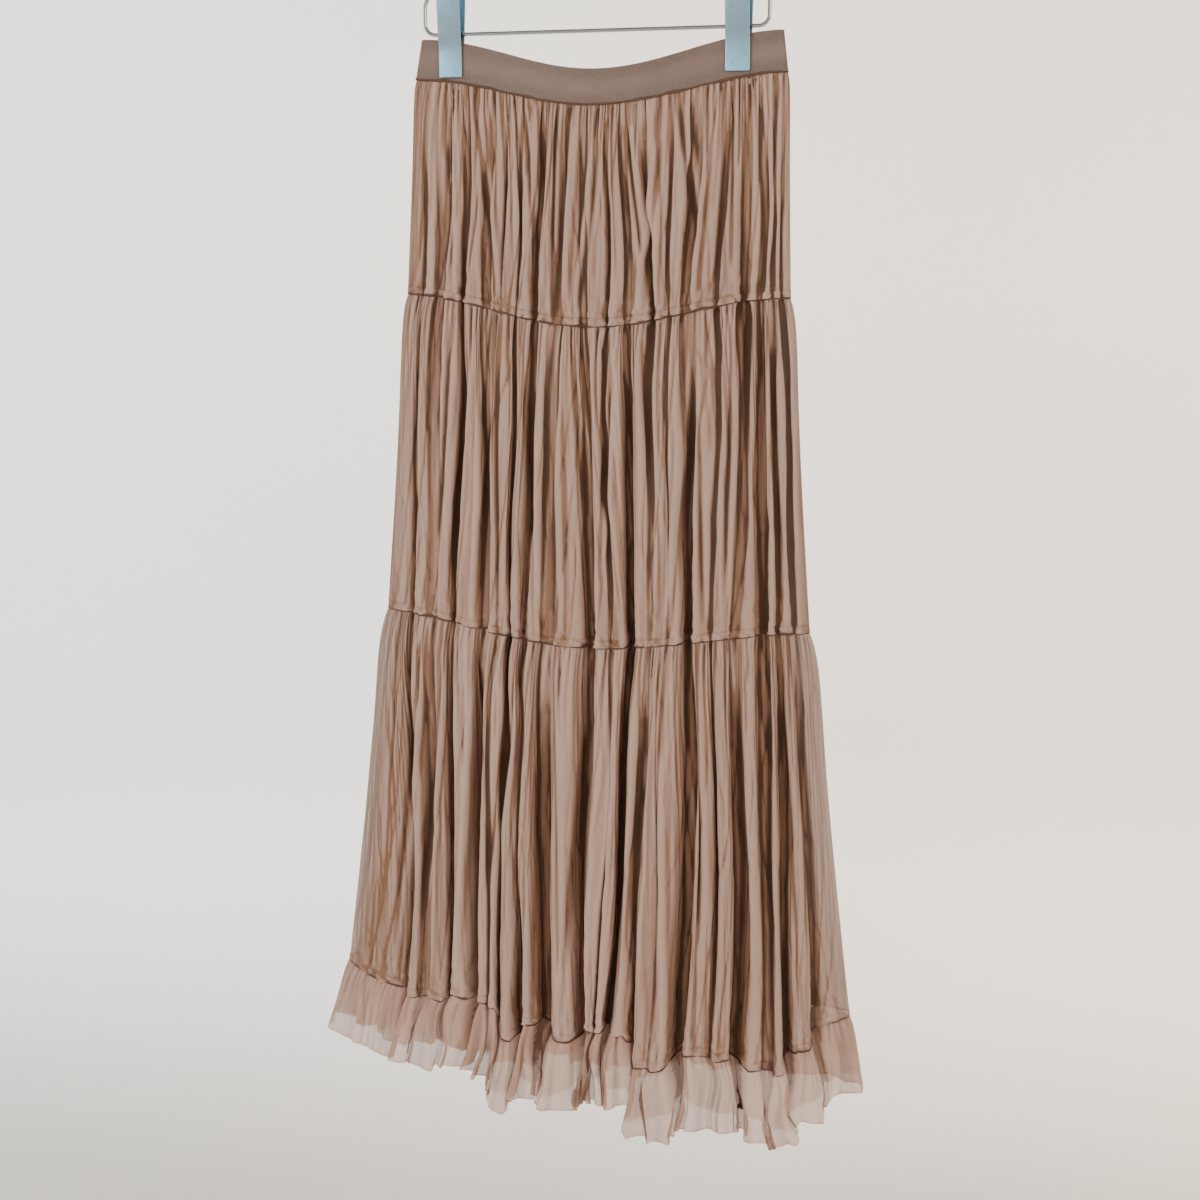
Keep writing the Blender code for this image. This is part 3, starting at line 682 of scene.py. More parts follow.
def folded(values, place, drop, side, lean, shoulder):
    """Rows of the folded cloth: the section moved in at its folds, leaning, and out by the
    shoulder. Returns the points, the unfolded section's normals, how deep each point lies, and
    how deep it could lie."""
    points = section(values, place, side)
    normals = outward(points, side)
    depth = half_depth(values, place)
    limit = np.clip(np.minimum(DEEPEST_SHARE * depth, depth - FOLD_CLEARANCE), 0.0, None)
    inside = np.minimum(drop, limit)
    points = points - normals * (inside - shoulder)[..., None]
    points[..., 0] += lean * inside
    return points, normals, inside, limit


def even_steps(make_line, last, spacing):
    """Column steps that lie evenly along the folded line that make_line gives."""
    fine = np.linspace(0.0, last, FINE_STEPS)
    line = make_line(fine)
    arc = np.concatenate([[0.0], np.cumsum(np.linalg.norm(np.diff(line, axis=0), axis=1))])
    count = int(arc[-1] / spacing) + 1
    steps = np.interp(np.linspace(0.0, arc[-1], count), arc, fine)
    return steps, np.linspace(0.0, arc[-1], count)


def row_shares(length):
    """Shares of the way down: rows close together at both seams and wider apart between."""
    close_top, close_low = CLOSE_ROWS
    top_space, low_space, middle_space = ROW_SPACES
    between = length - close_low - close_top
    top = np.arange(0.0, close_top, top_space)
    low = np.arange(length, length - close_low, -low_space)[::-1]
    middle = np.linspace(close_top, length - close_low, int(between / middle_space))
    return np.concatenate([top, middle[:-1], low]) / length


def pleats(along, fall, spacing, depth, reach, drift, seed):
    """Troughs that run down from a seam between lopsided ridges. A ridge is a sine, to the power
    of the pleats' edge, of a phase bent to one side. Each trough has its own depth, drifts as it
    falls, and fades as e to the power of minus the fall over its reach. Returns the troughs and
    the tone of each ridge: at random, with painted shade that grows to its right side."""
    phase = (along + UNEVEN_SPACING * spacing * wander(along, UNEVEN_OVER * spacing, seed)
             + drift * fall * wander(along, DRIFT_SPACING, seed + 1)) / spacing
    number = np.floor(phase).astype(int)
    source = np.random.default_rng(seed + 2)
    bends, depths, reaches = (source.uniform(*spread, POOL) for spread in SPREADS)
    depths = depths ** DEPTH_POWER
    across = (phase - number) ** bends[number % POOL]
    trough = 1.0 - np.clip(np.sin(np.pi * across), 0.0, 1.0) ** PLEAT_EDGE
    nearest = (number + (across > 0.5)) % POOL
    fade = np.exp(-fall / (reach * reaches[nearest]))
    # Painted shade: the tone grows to the right side of each ridge, where the finish makes it
    # darker.
    tone = source.uniform(-1.0, 1.0, POOL)[number % POOL] + RIGHT_SIDE_SHADE * (2.0 * across - 1.0)
    return depth * depths[nearest] * trough * fade, tone


def blurred(values, spacing, width):
    """Rows smoothed along the cloth by a bell curve of the width."""
    reach = int(2.5 * width / spacing) + 1
    bell = np.exp(-0.5 * (np.arange(-reach, reach + 1) * spacing / width) ** 2)
    padded = np.pad(values, ((0, 0), (reach, reach)), mode="edge")
    columns = values.shape[1]
    return sum(part * padded[:, n:n + columns] for n, part in enumerate(bell / bell.sum()))


def veins(across, down, across_spacing, down_spacing, power, seed):
    """Thin lines that wander down, from 0 to 1: one less the size of a crumple, to a power."""
    return (1.0 - np.abs(crumple(across, down, across_spacing, down_spacing, seed))) ** power


def cloth_marks(grid, normals, along, fall, inside, limit, relief, tone, side, seed):
    """What the tulle's finish reads, from 0 to 1. Recess is the fold's depth against the deepest
    it could be; the finish paints shade by it. Ridge is how far a point stands out from the cloth
    on both its sides, with 0.5 for level; the finish paints it paler, partly doubled cloth and
    partly highlight, and darker below as shade. Flank is how far it turns away from the unfolded
    section;
    the finish paints shade by it. Streak is the uneven dye, long down the cloth and narrow across
    it, with the pleats' tone, at random and with painted shade on their right sides, and thin dark
    lines of painted crease shade."""
    spacing = along[1] - along[0]
    height = relief - inside
    fine = (height - blurred(height, spacing, FINE_WIDTH)) / FINE_RIDGE
    broad = (height - blurred(height, spacing, BROAD_WIDTH)) / BROAD_RIDGE
    # How far the cloth turns sideways; the finish paints shade by it.
    turned = np.sum(surface_normals(grid, side)[..., :2] * normals, axis=2)
    across = along[None, :]
    pale = veins(across + PALE_SLANT * fall, fall, *PALE_LINES, seed + 4)
    # The pleats' tone holds painted shade on their right sides, and the dark lines are painted
    # shade of fine creases.
    streak_and_shade = TONE_SHARE * tone + DARK_LINE * veins(across, fall, *DARK_LINES, seed + 3)
    for step, (share, *spaces) in enumerate(STREAKS):
        streak_and_shade = streak_and_shade + share * crumple(across, fall, *spaces, seed + step)
    return {"recess": inside / (RECESS_BASE + RECESS_SHARE * limit),
            "ridge": 0.5 + fine + np.clip(broad, *BROAD_LIMITS) + PALE_LINE * pale,
            "flank_shade": (FLANK_LEVEL - turned) / FLANK_SPAN,
            "streak_and_shade": 0.5 + 0.5 * streak_and_shade}


def hand_creases(tier, x, share):
    """The listed creases: each a trough with a soft ridge beside it, bell-shaped across
    and swelling and fading as half a sine along its length."""
    relief = np.zeros(x.shape)
    for number, x_top, start, x_low, end, depth, width in CREASES:
        if number != tier:
            continue
        run = (share - start) / (end - start)
        centre = x_top + (x_low - x_top) * run
        swell = np.sin(np.pi * np.clip(run, 0.0, 1.0)) ** CREASE_SWELL
        off = (x - centre) / width
        lip = CREASE_LIP * np.exp(-(off - CREASE_LIP_PLACE) ** 2)
        relief += depth * swell * (np.exp(-off ** 2) - lip)
    return relief


def surface_normals(points, side):
    """Unit normals of a grid of points, turned out of the skirt."""
    across = np.gradient(points, axis=1)
    down = np.gradient(points, axis=0)
    normal = np.cross(down, across) * -side
    return normal / np.maximum(np.linalg.norm(normal, axis=2, keepdims=True), 1e-12)


def grid_faces(rows, columns, side, closed=False):
    """Corner numbers of a grid's faces, wound to face out; closed joins the last row on."""
    row = np.arange(rows if closed else rows - 1)[:, None]
    column = np.arange(columns - 1)[None, :]
    here, beyond = row * columns + column, ((row + 1) % rows) * columns + column
    faces = np.stack([here, beyond, beyond + 1, here + 1], axis=-1).reshape(-1, 4)
    return faces if side < 0 else faces[:, ::-1]


def grid_piece(name, points, uv, marks, side, finish, closed=False, sheer=None):
    """A smooth mesh piece from a grid of points in millimetres, with its cloth map and the marks
    that its finish reads, each a number for every point. Faces with a corner that isn't wholly
    covered take the sheer finish, if one is given."""
    rows, columns = points.shape[:2]
    faces = grid_faces(rows, columns, side, closed)
    mesh = bpy.data.meshes.new(name)
    mesh.vertices.add(rows * columns)
    mesh.vertices.foreach_set("co", (points * MM).astype(np.float32).ravel())
    mesh.loops.add(faces.size)
    mesh.loops.foreach_set("vertex_index", faces.astype(np.int32).ravel())
    mesh.polygons.add(len(faces))
    mesh.polygons.foreach_set("loop_start", np.arange(0, faces.size, 4, dtype=np.int32))
    mesh.update(calc_edges=True)
    mesh.validate()
    cloth_map = mesh.uv_layers.new(name="cloth")
    corners = np.empty(len(mesh.loops), np.int32)
    mesh.loops.foreach_get("vertex_index", corners)
    flat_uv = np.stack([np.broadcast_to(uv[0], (rows, columns)).ravel(),
                        np.broadcast_to(uv[1], (rows, columns)).ravel()], axis=-1) * MM
    cloth_map.uv.foreach_set("vector", flat_uv[corners].astype(np.float32).ravel())
    for mark, values in marks.items():
        layer = mesh.attributes.new(mark, "FLOAT", "POINT")
        layer.data.foreach_set("value", np.clip(values, 0.0, 1.0).astype(np.float32).ravel())
    mesh.shade_smooth()
    mesh.materials.append(finish)
    if sheer:
        mesh.materials.append(sheer)
        thin = marks["cover"].ravel()[faces].min(axis=1) < WHOLLY_COVERED
        mesh.polygons.foreach_set("material_index", thin.astype(np.int32))
    piece = bpy.data.objects.new(name, mesh)
    bpy.context.scene.collection.objects.link(piece)
    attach(piece, "root")
    return piece


def put(tree, kind, inputs=None, **settings):
    """A shader node with its settings and inputs; an input that is a socket gets a link."""
    item = tree.nodes.new(kind)
    for key, value in settings.items():
        setattr(item, key, value)
    for key, value in (inputs or {}).items():
        if isinstance(value, bpy.types.NodeSocket):
            tree.links.new(value, item.inputs[key])
        else:
            item.inputs[key].default_value = value
    return item


def blank_material(name):
    """A material with only its output node, and its tree."""
    finish = bpy.data.materials.new(name)
    finish.use_nodes = True
    finish.node_tree.nodes.clear()
    return finish, finish.node_tree


def opaque(colour, factor=1.0):
    """A colour with full alpha, darker or lighter by the factor."""
    return (*[part * factor for part in colour], 1.0)


def mixed(tree, factor, first, second):
    """A colour between two, by a factor; the node's colour inputs are its seventh and eighth."""
    item = put(tree, "ShaderNodeMix", {0: factor, 6: first, 7: second}, data_type="RGBA")
    return item.outputs[2]


def ranged(tree, value, low, high, to_low=0.0, to_high=1.0):
    """A value moved from one range to another and held there."""
    return put(tree, "ShaderNodeMapRange",
               {"Value": value, "From Min": low, "From Max": high,
                "To Min": to_low, "To Max": to_high}).outputs["Result"]


def layered(tree, tone, layers):
    """A colour with others laid over it. Each layer is the value that it follows, the range of
    the value with the layer's share at both its ends, and the colour."""
    for value, limits, over in layers:
        tone = mixed(tree, ranged(tree, value, *limits), tone, over)
    return tone


def stretched_noise(tree, where, scale, detail):
    """Noise with its own scale along each axis."""
    placed = put(tree, "ShaderNodeMapping", {"Vector": where, "Scale": scale}).outputs["Vector"]
    return put(tree, "ShaderNodeTexNoise",
               {"Vector": placed, "Scale": 1.0, "Detail": detail}).outputs["Fac"]


def net_pattern(tree, where, spacing):
    """The net: two sets of threads that cross at sixty degrees."""
    threads = []
    for turn in (math.radians(30.0), math.radians(-30.0)):
        turned = put(tree, "ShaderNodeMapping", {"Vector": where, "Rotation": (0.0, 0.0, turn)})
        wave = put(tree, "ShaderNodeTexWave",
                   {"Vector": turned.outputs["Vector"], "Scale": WAVE_LENGTH / spacing})
        threads.append(wave.outputs["Fac"])
    return put(tree, "ShaderNodeMath", {0: threads[0], 1: threads[1]},
               operation="MAXIMUM").outputs["Value"]


def cloth_place(tree):
    """The place on the piece's own cloth map, in metres."""
    return put(tree, "ShaderNodeUVMap", uv_map="cloth").outputs["UV"]


def object_place(tree):
    """The place on the object, in metres."""
    return put(tree, "ShaderNodeTexCoord").outputs["Object"]


def mark_read(tree, name):
    """One of the marks that the mesh carries."""
    return put(tree, "ShaderNodeAttribute", attribute_name=name).outputs["Fac"]


def bumped(tree, strength, distance, height, under=None):
    """The normal of a small relief, over another one where it is given."""
    inputs = {"Strength": strength, "Distance": distance, "Height": height}
    if under:
        inputs["Normal"] = under
    return put(tree, "ShaderNodeBump", inputs).outputs["Normal"]


def solid_surface(tree, tone, roughness, further):
    """A surface that light doesn't pass, from its colour, its roughness and its further inputs."""
    inputs = {"Base Color": tone, "Roughness": roughness, **further}
    return put(tree, "ShaderNodeBsdfPrincipled", inputs).outputs["BSDF"]


def between(tree, share, first, second):
    """A surface between two, by the share of the second."""
    return put(tree, "ShaderNodeMixShader", {0: share, 1: first, 2: second}).outputs["Shader"]


def output(tree, surface):
    """The surface that the material shows."""
    put(tree, "ShaderNodeOutputMaterial", {"Surface": surface})


def tulle_finish(name, lit, warm, flank_shade, deep, edge, glow, see_through=True):
    """Net: streaked pink to tan along the fall and flecked, the streaks darker on the pleats'
    right sides and in thin crease lines as painted shade; warm brown on the flanks of its folds
    and near black deep in them, both painted shade; pale on its ridges, partly doubled cloth and
    partly painted highlight; with a fine net in its relief."""
    finish, tree = blank_material(name)
    cloth = cloth_place(tree)
    streak_and_shade, turned, recess, ridge = (mark_read(tree, mark) for mark in TULLE_MARKS)
    flecks = stretched_noise(tree, cloth, (420.0, 90.0, 1.0), 2.0)
    net = net_pattern(tree, cloth, NET_SPACING)
    # Painted shade: near black in the deepest folds and in troughs, brown on the floor of a
    # recess.
    shade = opaque(deep, 0.3)
    low = mixed(tree, ranged(tree, streak_and_shade, 0.3, 0.8), opaque(flank_shade, 1.5), opaque(deep))
    tone = layered(tree, opaque(lit), (
        # The streaks hold painted shade too: the pleats' right sides and thin crease lines.
        (streak_and_shade, (0.12, 0.95), opaque(warm)),
        (flecks, (0.35, 0.75, 0.0, 0.25), opaque(warm)),
        # Painted shade on the flanks of the folds.
        (turned, (0.15, 1.0, 0.0, 0.7), opaque(flank_shade)),
        # Painted shade in the recesses.
        (recess, (0.4, 1.0, 0.0, 0.95), low),
        (recess, (0.93, 1.0, 0.0, 0.12), shade),
        # Pale on the ridges, partly doubled cloth and partly painted highlight; then painted shade
        # in troughs.
        (ridge, (0.52, 0.85, 0.0, 0.7), opaque(edge)),
        (ridge, (0.46, 0.2, 0.0, 0.55), opaque(flank_shade)),
        (ridge, (0.3, 0.0, 0.0, 0.85), shade),
        (net, (0.2, 0.9, 0.08, 0.0), opaque(deep)),
    ))
    body = solid_surface(tree, tone, 0.85,
                         {"Sheen Weight": 0.12, "Sheen Roughness": 0.4, "Sheen Tint": opaque(lit),
                          "Specular IOR Level": 0.15, "Normal": bumped(tree, 0.2, 0.0003, net)})
    through = put(tree, "ShaderNodeBsdfTranslucent", {"Color": tone}).outputs["BSDF"]
    surface = between(tree, glow, body, through)
    if see_through:
        clear = put(tree, "ShaderNodeBsdfTransparent").outputs["BSDF"]
        surface = between(tree, mark_read(tree, "cover"), clear, surface)
    output(tree, surface)
    return finish


def knit_finish(name, colour):
    """Smooth fine knit: upright ribs, a soft lighter stretch along its middle, darker patches at
    random.
    """
    finish, tree = blank_material(name)
    cloth = cloth_place(tree)
    ribs = put(tree, "ShaderNodeTexWave",
               {"Vector": cloth, "Scale": WAVE_LENGTH / KNIT_RIB, "Distortion": 0.6},
               bands_direction="X").outputs["Fac"]
    clouds = stretched_noise(tree, cloth, (22.0, 60.0, 1.0), 2.0)
    speckle = stretched_noise(tree, cloth, (520.0, 260.0, 1.0), 2.0)
    height = put(tree, "ShaderNodeSeparateXYZ", {"Vector": cloth}).outputs["Y"]
    raised = put(tree, "ShaderNodeMath", {0: height, 1: BAND_HEIGHT * MM / 2.0},
                 operation="ADD").outputs["Value"]
    from_middle = put(tree, "ShaderNodeMath", {0: raised},
                      operation="ABSOLUTE").outputs["Value"]
    pale = opaque(colour, 1.32)
    tone = layered(tree, opaque(colour), (
        (from_middle, BAND_PALE, pale),
        (clouds, (0.35, 0.75, 0.0, 0.45), opaque(colour, 0.74)),
        (speckle, (0.4, 0.7, 0.0, 0.5), pale),
    ))
    relief = bumped(tree, 0.25, 0.0003, speckle, bumped(tree, 0.3, 0.0002, ribs))
    output(tree, solid_surface(tree, tone, 0.72,
                               {"Sheen Weight": 0.3, "Sheen Roughness": 0.5,
                                "Specular IOR Level": 0.25, "Normal": relief}))
    return finish


def seam_shade_finish(name, colour):
    """Painted seam shade: a dark strip with twisted strands across the seam line."""
    finish, tree = blank_material(name)
    strands = stretched_noise(tree, cloth_place(tree), (1400.0, 500.0, 1.0), 2.0)
    tone = mixed(tree, ranged(tree, strands, 0.3, 0.7), opaque(colour, 0.6), opaque(colour, 1.5))
    relief = bumped(tree, 0.5, 0.0003, strands)
    output(tree, solid_surface(tree, tone, 0.9, {"Normal": relief}))
    return finish


def wire_finish(name, colour):
    """Polished metal with a fine grain and faint handling marks."""
    finish, tree = blank_material(name)
    place = object_place(tree)
    grain = stretched_noise(tree, place, (900.0, 900.0, 900.0), 4.0)
    marks = stretched_noise(tree, place, (70.0, 70.0, 40.0), 3.0)
    tone = mixed(tree, ranged(tree, marks, 0.35, 0.75, 0.0, 0.5), opaque(colour),
                 opaque(colour, 0.8))
    rough = ranged(tree, marks, 0.3, 0.8, 0.12, 0.224)
    relief = bumped(tree, 0.12, 0.0001, grain)
    output(tree, solid_surface(tree, tone, rough, {"Metallic": 1.0, "Normal": relief}))
    return finish


def plate_finish(name, lip, top):
    """Brushed pale blue plate with a painted reflection: brighter at the lip, greyer to the middle
    and half back again towards the finger end, with upright grain and small scuffs."""
    finish, tree = blank_material(name)
    place = object_place(tree)
    height = put(tree, "ShaderNodeSeparateXYZ", {"Vector": place}).outputs["Z"]
    grain = stretched_noise(tree, place, (2600.0, 2600.0, 60.0), 3.0)
    scuffs = stretched_noise(tree, place, (160.0, 160.0, 90.0), 3.0)
    tone = layered(tree, opaque(lip), (
        # Painted reflection: grey higher up, brightening again towards the finger end.
        (height, PLATE_REFLECTION_GREYS, opaque(top)),
        (height, (*PLATE_REFLECTION_BRIGHTENS, 0.0, 0.5), opaque(lip)),
        (scuffs, (0.5, 1.0, 0.0, 0.3), opaque(top, 0.7)),
    ))
    rough = ranged(tree, scuffs, 0.3, 0.8, 0.26, 0.42)
    relief = bumped(tree, 0.1, 0.0001, grain)
    output(tree, solid_surface(tree, tone, rough, {"Metallic": 0.55, "Normal": relief}))
    return finish


def stage_finish(name, colour):
    """Pale matt floor."""
    finish, tree = blank_material(name)
    clouds = stretched_noise(tree, object_place(tree), (1.5, 1.5, 1.5), 2.0)
    tone = mixed(tree, ranged(tree, clouds, 0.3, 0.7, 0.0, 0.3), opaque(colour),
                 opaque(colour, 0.96))
    output(tree, solid_surface(tree, tone, 0.9, {}))
    return finish


def finish_named(name):
    """A finish of this object by name, made when it is first asked for."""
    found = bpy.data.materials.get(name)
    if found:
        return found
    look = bpy.context.scene.skirt_colours
    if name in ("tulle layered", "tulle sheer"):
        return tulle_finish(name, look.lit, look.warm, look.flank_shade, look.deep, look.edge,
                            TULLE_GLOW, see_through=name == "tulle sheer")
    if name == "tulle single":
        edge = [min(1.0, part * RUFFLE_PALER) for part in look.ruffle]
        return tulle_finish(name, look.ruffle, look.lit, look.warm, look.flank_shade, edge,
                            RUFFLE_GLOW)
    if name == "knit band":
        return knit_finish(name, look.band)
    if name == "seam shade":
        return seam_shade_finish(name, SEAM_SHADE)
    if name == "polished wire":
        return wire_finish(name, look.wire)
    if name == "brushed plate":
        return plate_finish(name, look.plate, look.plate_top_reflection)
    return stage_finish(name, STAGE)


def lean_columns(steps, folds):
    """The lean of each column: that of its nearest fold."""
    nearest = np.rint(steps).astype(int)
    return with_ends(folds["lean"])[nearest] * bpy.context.scene.skirt_sizes.lean


def near_ends(along):
    """From 0 at the side seams to 1 a little way in."""
    return np.clip(np.minimum(along, along[-1] - along) / END_FADE, 0.0, 1.0)


def seam_gathers(along, fall, left, length, seed):
    """All sizes of gathers under a seam, added up, held shallow where they are sewn in and dying
    out above the foot seam, and the tone of their ridges."""
    troughs, bands = 0.0, 0.0
    for order, (spacing, depth, reach, stretch, drift, share) in enumerate(GATHERS):
        trough, tone = pleats(along[None, :], fall, spacing, depth, reach + stretch * length,
                              drift, seed + 10 * order)
        troughs = troughs + trough
        bands = bands + share * tone
    under_seam = SEAM_TROUGH + (1.0 - SEAM_TROUGH) * ease(fall / SEAM_STRETCH)
    over_foot = FOOT_TROUGH + (1.0 - FOOT_TROUGH) * ease(left / GATHER_FOOT)
    return troughs * under_seam * over_foot, bands


def clear_of_seams(fall, left):
    """From 0 at a tier's seams to 1 between them."""
    return ease(fall / CLEAR_TOP) * ease(left / CLEAR_FOOT)


def rumples(along, fall, left, seed):
    """Soft swells down the cloth, less thin veins where it was folded, and small wrinkles and
    pinches above the foot seam that fade as e to the power of minus the way up."""
    across = along[None, :]
    relief = 0.0
    for size, *spaces, step in SWELLS:
        relief = relief + size * crumple(across, fall, *spaces, seed + step)
    for size, slant, *shape, step in VEINS:
        relief = relief - size * veins(across + slant * fall, fall, *shape, seed + step)
    size, slant, reach, *spaces = PUSHED
    pushed = size * crumple(across + slant * left, left, *spaces, seed + 3)
    pushed = pushed * np.exp(-left / reach)
    size, slant, reach, *shape = PINCHED
    pinched = size * veins(across + slant * left, left, *shape, seed + 4)
    pinched = pinched * np.exp(-left / reach)
    return relief * clear_of_seams(fall, left) + pushed - pinched


def tier_relief(number, x, steps, along, fall, left, seed):
    """How far a tier's cloth stands out from its folds: its rumples and its raised, wrinkled
    seam allowance, less its gathers and the listed creases. Returns it with the tone of
    the ridges and the share of the allowance."""
    sizes = bpy.context.scene.skirt_sizes
    length = fall[-1, 0]
    troughs, tone = seam_gathers(along, fall, left, length, seed)
    lobes = np.random.default_rng(seed + 60).uniform(-1.0, 1.0, len(FRONT_FOLDS) + 2)
    tone = tone + LOBE_TONE * lobes[np.floor(steps).astype(int)][None, :]
    creases = hand_creases(number, x, fall / length) * clear_of_seams(fall, left)
    allowance = ease((ALLOWANCE - left) / ALLOWANCE_EDGE)
    wrinkles = WRINKLE * crumple(along[None, :], left, *WRINKLE_SPACES, seed + 61)
    relief = rumples(along, fall, left, seed + 70) + (wrinkles + ALLOWANCE_RISE) * allowance
    relief -= sizes.gather_depth * troughs + sizes.crease_depth * creases
    return relief * near_ends(along)[None, :], tone, allowance


def tier_grid(number, side):
    """A tier as a grid: folded section rows between two seams, puffed out under the upper one as
    x e to the power of 1 - x, with its relief along the cloth's own normal. Returns its points,
    its cloth map and its marks."""
    _, top, low, names, puff, hanging, spacing, _ = TIERS[number]
    folds = fold_table(side)
    last = len(folds["waist"]) + 1

    def rows_at(steps, share, lean, shoulder):
        values = level_rows(top, low, share)
        place = column_places(steps, fold_places(folds, top, low, share))
        drop = fold_drop(steps, depth_rows(folds, names, share), folds["floor"])
        return place, folded(values, place, drop, side, lean, shoulder)

    even_row = np.array([EVEN_ROW])
    steps, along = even_steps(lambda fine: rows_at(fine, even_row, 0.0, 0.0)[1][0][0],
                              last, spacing)
    length = LEVELS[top][0] - LEVELS[low][0]
    share = row_shares(length)
    rows = share[:, None]
    fall, left = rows * length, (1.0 - rows) * length
    rise = rows / SHOULDER_REACH
    shoulder = puff * rise * np.exp(1.0 - rise) - SEAM_SET_IN * np.exp(-fall / SET_IN_REACH)
    place, cloth = rows_at(steps, share, lean_columns(steps, folds), shoulder)
    points, normals, inside, limit = cloth
    upper = level_height(level_rows(top, top, share), place)
    lower = level_height(level_rows(low, low, share), place)
    height = upper + (lower - upper) * rows - hang_at(steps, folds, side) * hanging * rows
    grid = np.concatenate([points, height[..., None]], axis=2)

    seed = 100 * number + (0 if side < 0 else BACK_SEED)
    front_x = -side * grid[..., 0]
    relief, tone, allowance = tier_relief(number, front_x, steps, along, fall, left, seed)
    grid += surface_normals(grid, side) * relief[..., None]
    marks = cloth_marks(grid, normals, along, fall, inside, limit, relief, tone, side,
                        seed + 90)
    # Painted shade just under the upper seam.
    marks["recess"] += SEAM_RECESS * np.exp(-fall / SEAM_RECESS_REACH)
    marks["recess"] -= ALLOWANCE_RECESS * allowance
    from_line = (left - ALLOWANCE) / ALLOWANCE_LINE_WIDTH
    marks["ridge"] -= ALLOWANCE_LINE * np.exp(-from_line ** 2)
    near_side = ease((np.abs(place) - 1.0 + SIDE_REACH) / SIDE_REACH)
    marks["cover"] = COVER + (SIDE_COVER[number] - COVER) * near_side
    return grid, (along[None, :], -fall), marks


def ruffle_grid(side):
    """The hem ruffle as a grid: the hem's lobes widen into flounces, with gathers under the seam,
    tucks and flutter that grow down the cloth, and an uneven edge. Returns its points, its cloth
    map and its marks."""
    folds = fold_table(side)
    last = len(folds["hem"]) + 1

    def rows_at(steps, share, lean):
        values = level_rows("hem", "edge", share)
        rows = share[:, None]
        place = column_places(steps, fold_places(folds, "hem", "edge", share))
        depths = folds["low_3"] * (1.0 - (1.0 - RUFFLE_FOLD_LEFT) * rows)
        floors = folds["floor"] * (1.0 - (1.0 - RUFFLE_FLOOR_LEFT) * rows)
        drop = fold_drop(steps, depths, floors)
        wave = np.sin(np.pi * RUFFLE_WAVES * 2.0 * steps) * np.sin(np.pi * steps / last)
        rise = rows / RUFFLE_PUFF_REACH
        out = RUFFLE_WAVE_DEPTH * rows * wave + RUFFLE_PUFF * rise * np.exp(1.0 - rise)
        out = out - SEAM_SET_IN * np.exp(-rows * RUFFLE_SET_IN)
        return folded(values, place, drop, side, lean, out), level_height(values, place)

    even_row = np.array([EVEN_ROW])
    steps, along = even_steps(lambda fine: rows_at(fine, even_row, 0.0)[0][0][0], last,
                              RUFFLE_COLUMN)
    upper_rows, lower_rows = RUFFLE_ROWS
    share = np.concatenate([np.linspace(0.0, RUFFLE_UPPER, upper_rows)[:-1],
                            np.linspace(RUFFLE_UPPER, 1.0, lower_rows)])
    cloth, height = rows_at(steps, share, lean_columns(steps, folds))
    points, normals, inside, limit = cloth
    height = height - hang_at(steps, folds, side)
    grid = np.concatenate([points, height[..., None]], axis=2)
    length = LEVELS["hem"][0] - LEVELS["edge"][0]
    rows = share[:, None]
    fall = rows * length
    seed = RUFFLE_SEEDS[side]
    relief, tone = ruffle_relief(along, fall, seed)
    grid[..., 0] += FLARE * rows * np.sin(2.0 * np.pi * (steps - 0.5))
    grid += surface_normals(grid, side) * relief[..., None]
    uneven = EDGE_SWING * wander(steps, 1.0, seed + 40)
    uneven += EDGE_RIPPLE * wander(along, EDGE_RIPPLE_SPACING, seed + 41)
    grid[..., 2] += uneven[None, :] * rows ** 2
    marks = cloth_marks(grid, normals, along, fall, inside, limit, relief, tone, side,
                        seed + 50)
    fade_ruffle(marks, steps, along, fall, length, seed)
    return grid, (along[None, :], -fall), marks


def ruffle_relief(along, fall, seed):
    """How far the ruffle's cloth stands out from its folds: flutter, less gathers that fade down
    the cloth and tucks that grow down it. Returns it with the tone of the tucks' ridges, at random
    and with painted shade on their right sides."""
    across = along[None, :]
    troughs, flutter = 0.0, 0.0
    for order, pleat in enumerate(RUFFLE_GATHERS):
        troughs = troughs + pleats(across, fall, *pleat, seed + 10 * order)[0]
    tucks, tone = pleats(across, 0.0 * fall, TUCK_SPACING, TUCK_DEPTH, 1.0, 0.0, seed + 20)
    for step, (size, *spaces) in enumerate(FLUTTERS):
        flutter = flutter + size * crumple(across, fall, *spaces, seed + 30 + step)
    relief = flutter * ease(fall / FLUTTER_WHOLE) - troughs - tucks * ease(fall / TUCKS_WHOLE)
    return relief * near_ends(along)[None, :], tone


def fade_ruffle(marks, steps, along, fall, length, seed):
    """Make the ruffle's marks softer than the tiers', its single lower part sheer up to a line
    that wanders, and its edge a little denser."""
    single = length - RUFFLE_SINGLE
    single = single + SINGLE_RIPPLE * wander(along, SINGLE_RIPPLE_SPACING, seed + 60)[None, :]
    single = single + SINGLE_SWING * wander(steps, 1.0, seed + 61)[None, :]
    doubled = ease((single - fall) / SINGLE_BLEND + 0.5)
    edge_line = ease((fall - length + EDGE_LINE) / EDGE_LINE_BLEND)
    # Painted shade just under the hem seam.
    at_seam = RUFFLE_SEAM_RECESS * np.exp(-fall / RUFFLE_SEAM_REACH)
    marks["recess"] = RUFFLE_RECESS * marks["recess"] + at_seam + EDGE_LINE_RECESS * edge_line
    marks["ridge"] = np.maximum(marks["ridge"], RUFFLE_LEAST_RIDGE)
    marks["flank_shade"] = RUFFLE_FLANK * marks["flank_shade"]
    cover = RUFFLE_EDGE_COVER + (RUFFLE_COVER - RUFFLE_EDGE_COVER) * doubled
    marks["cover"] = cover + EDGE_LINE_COVER * edge_line + RECESS_COVER * marks["recess"]


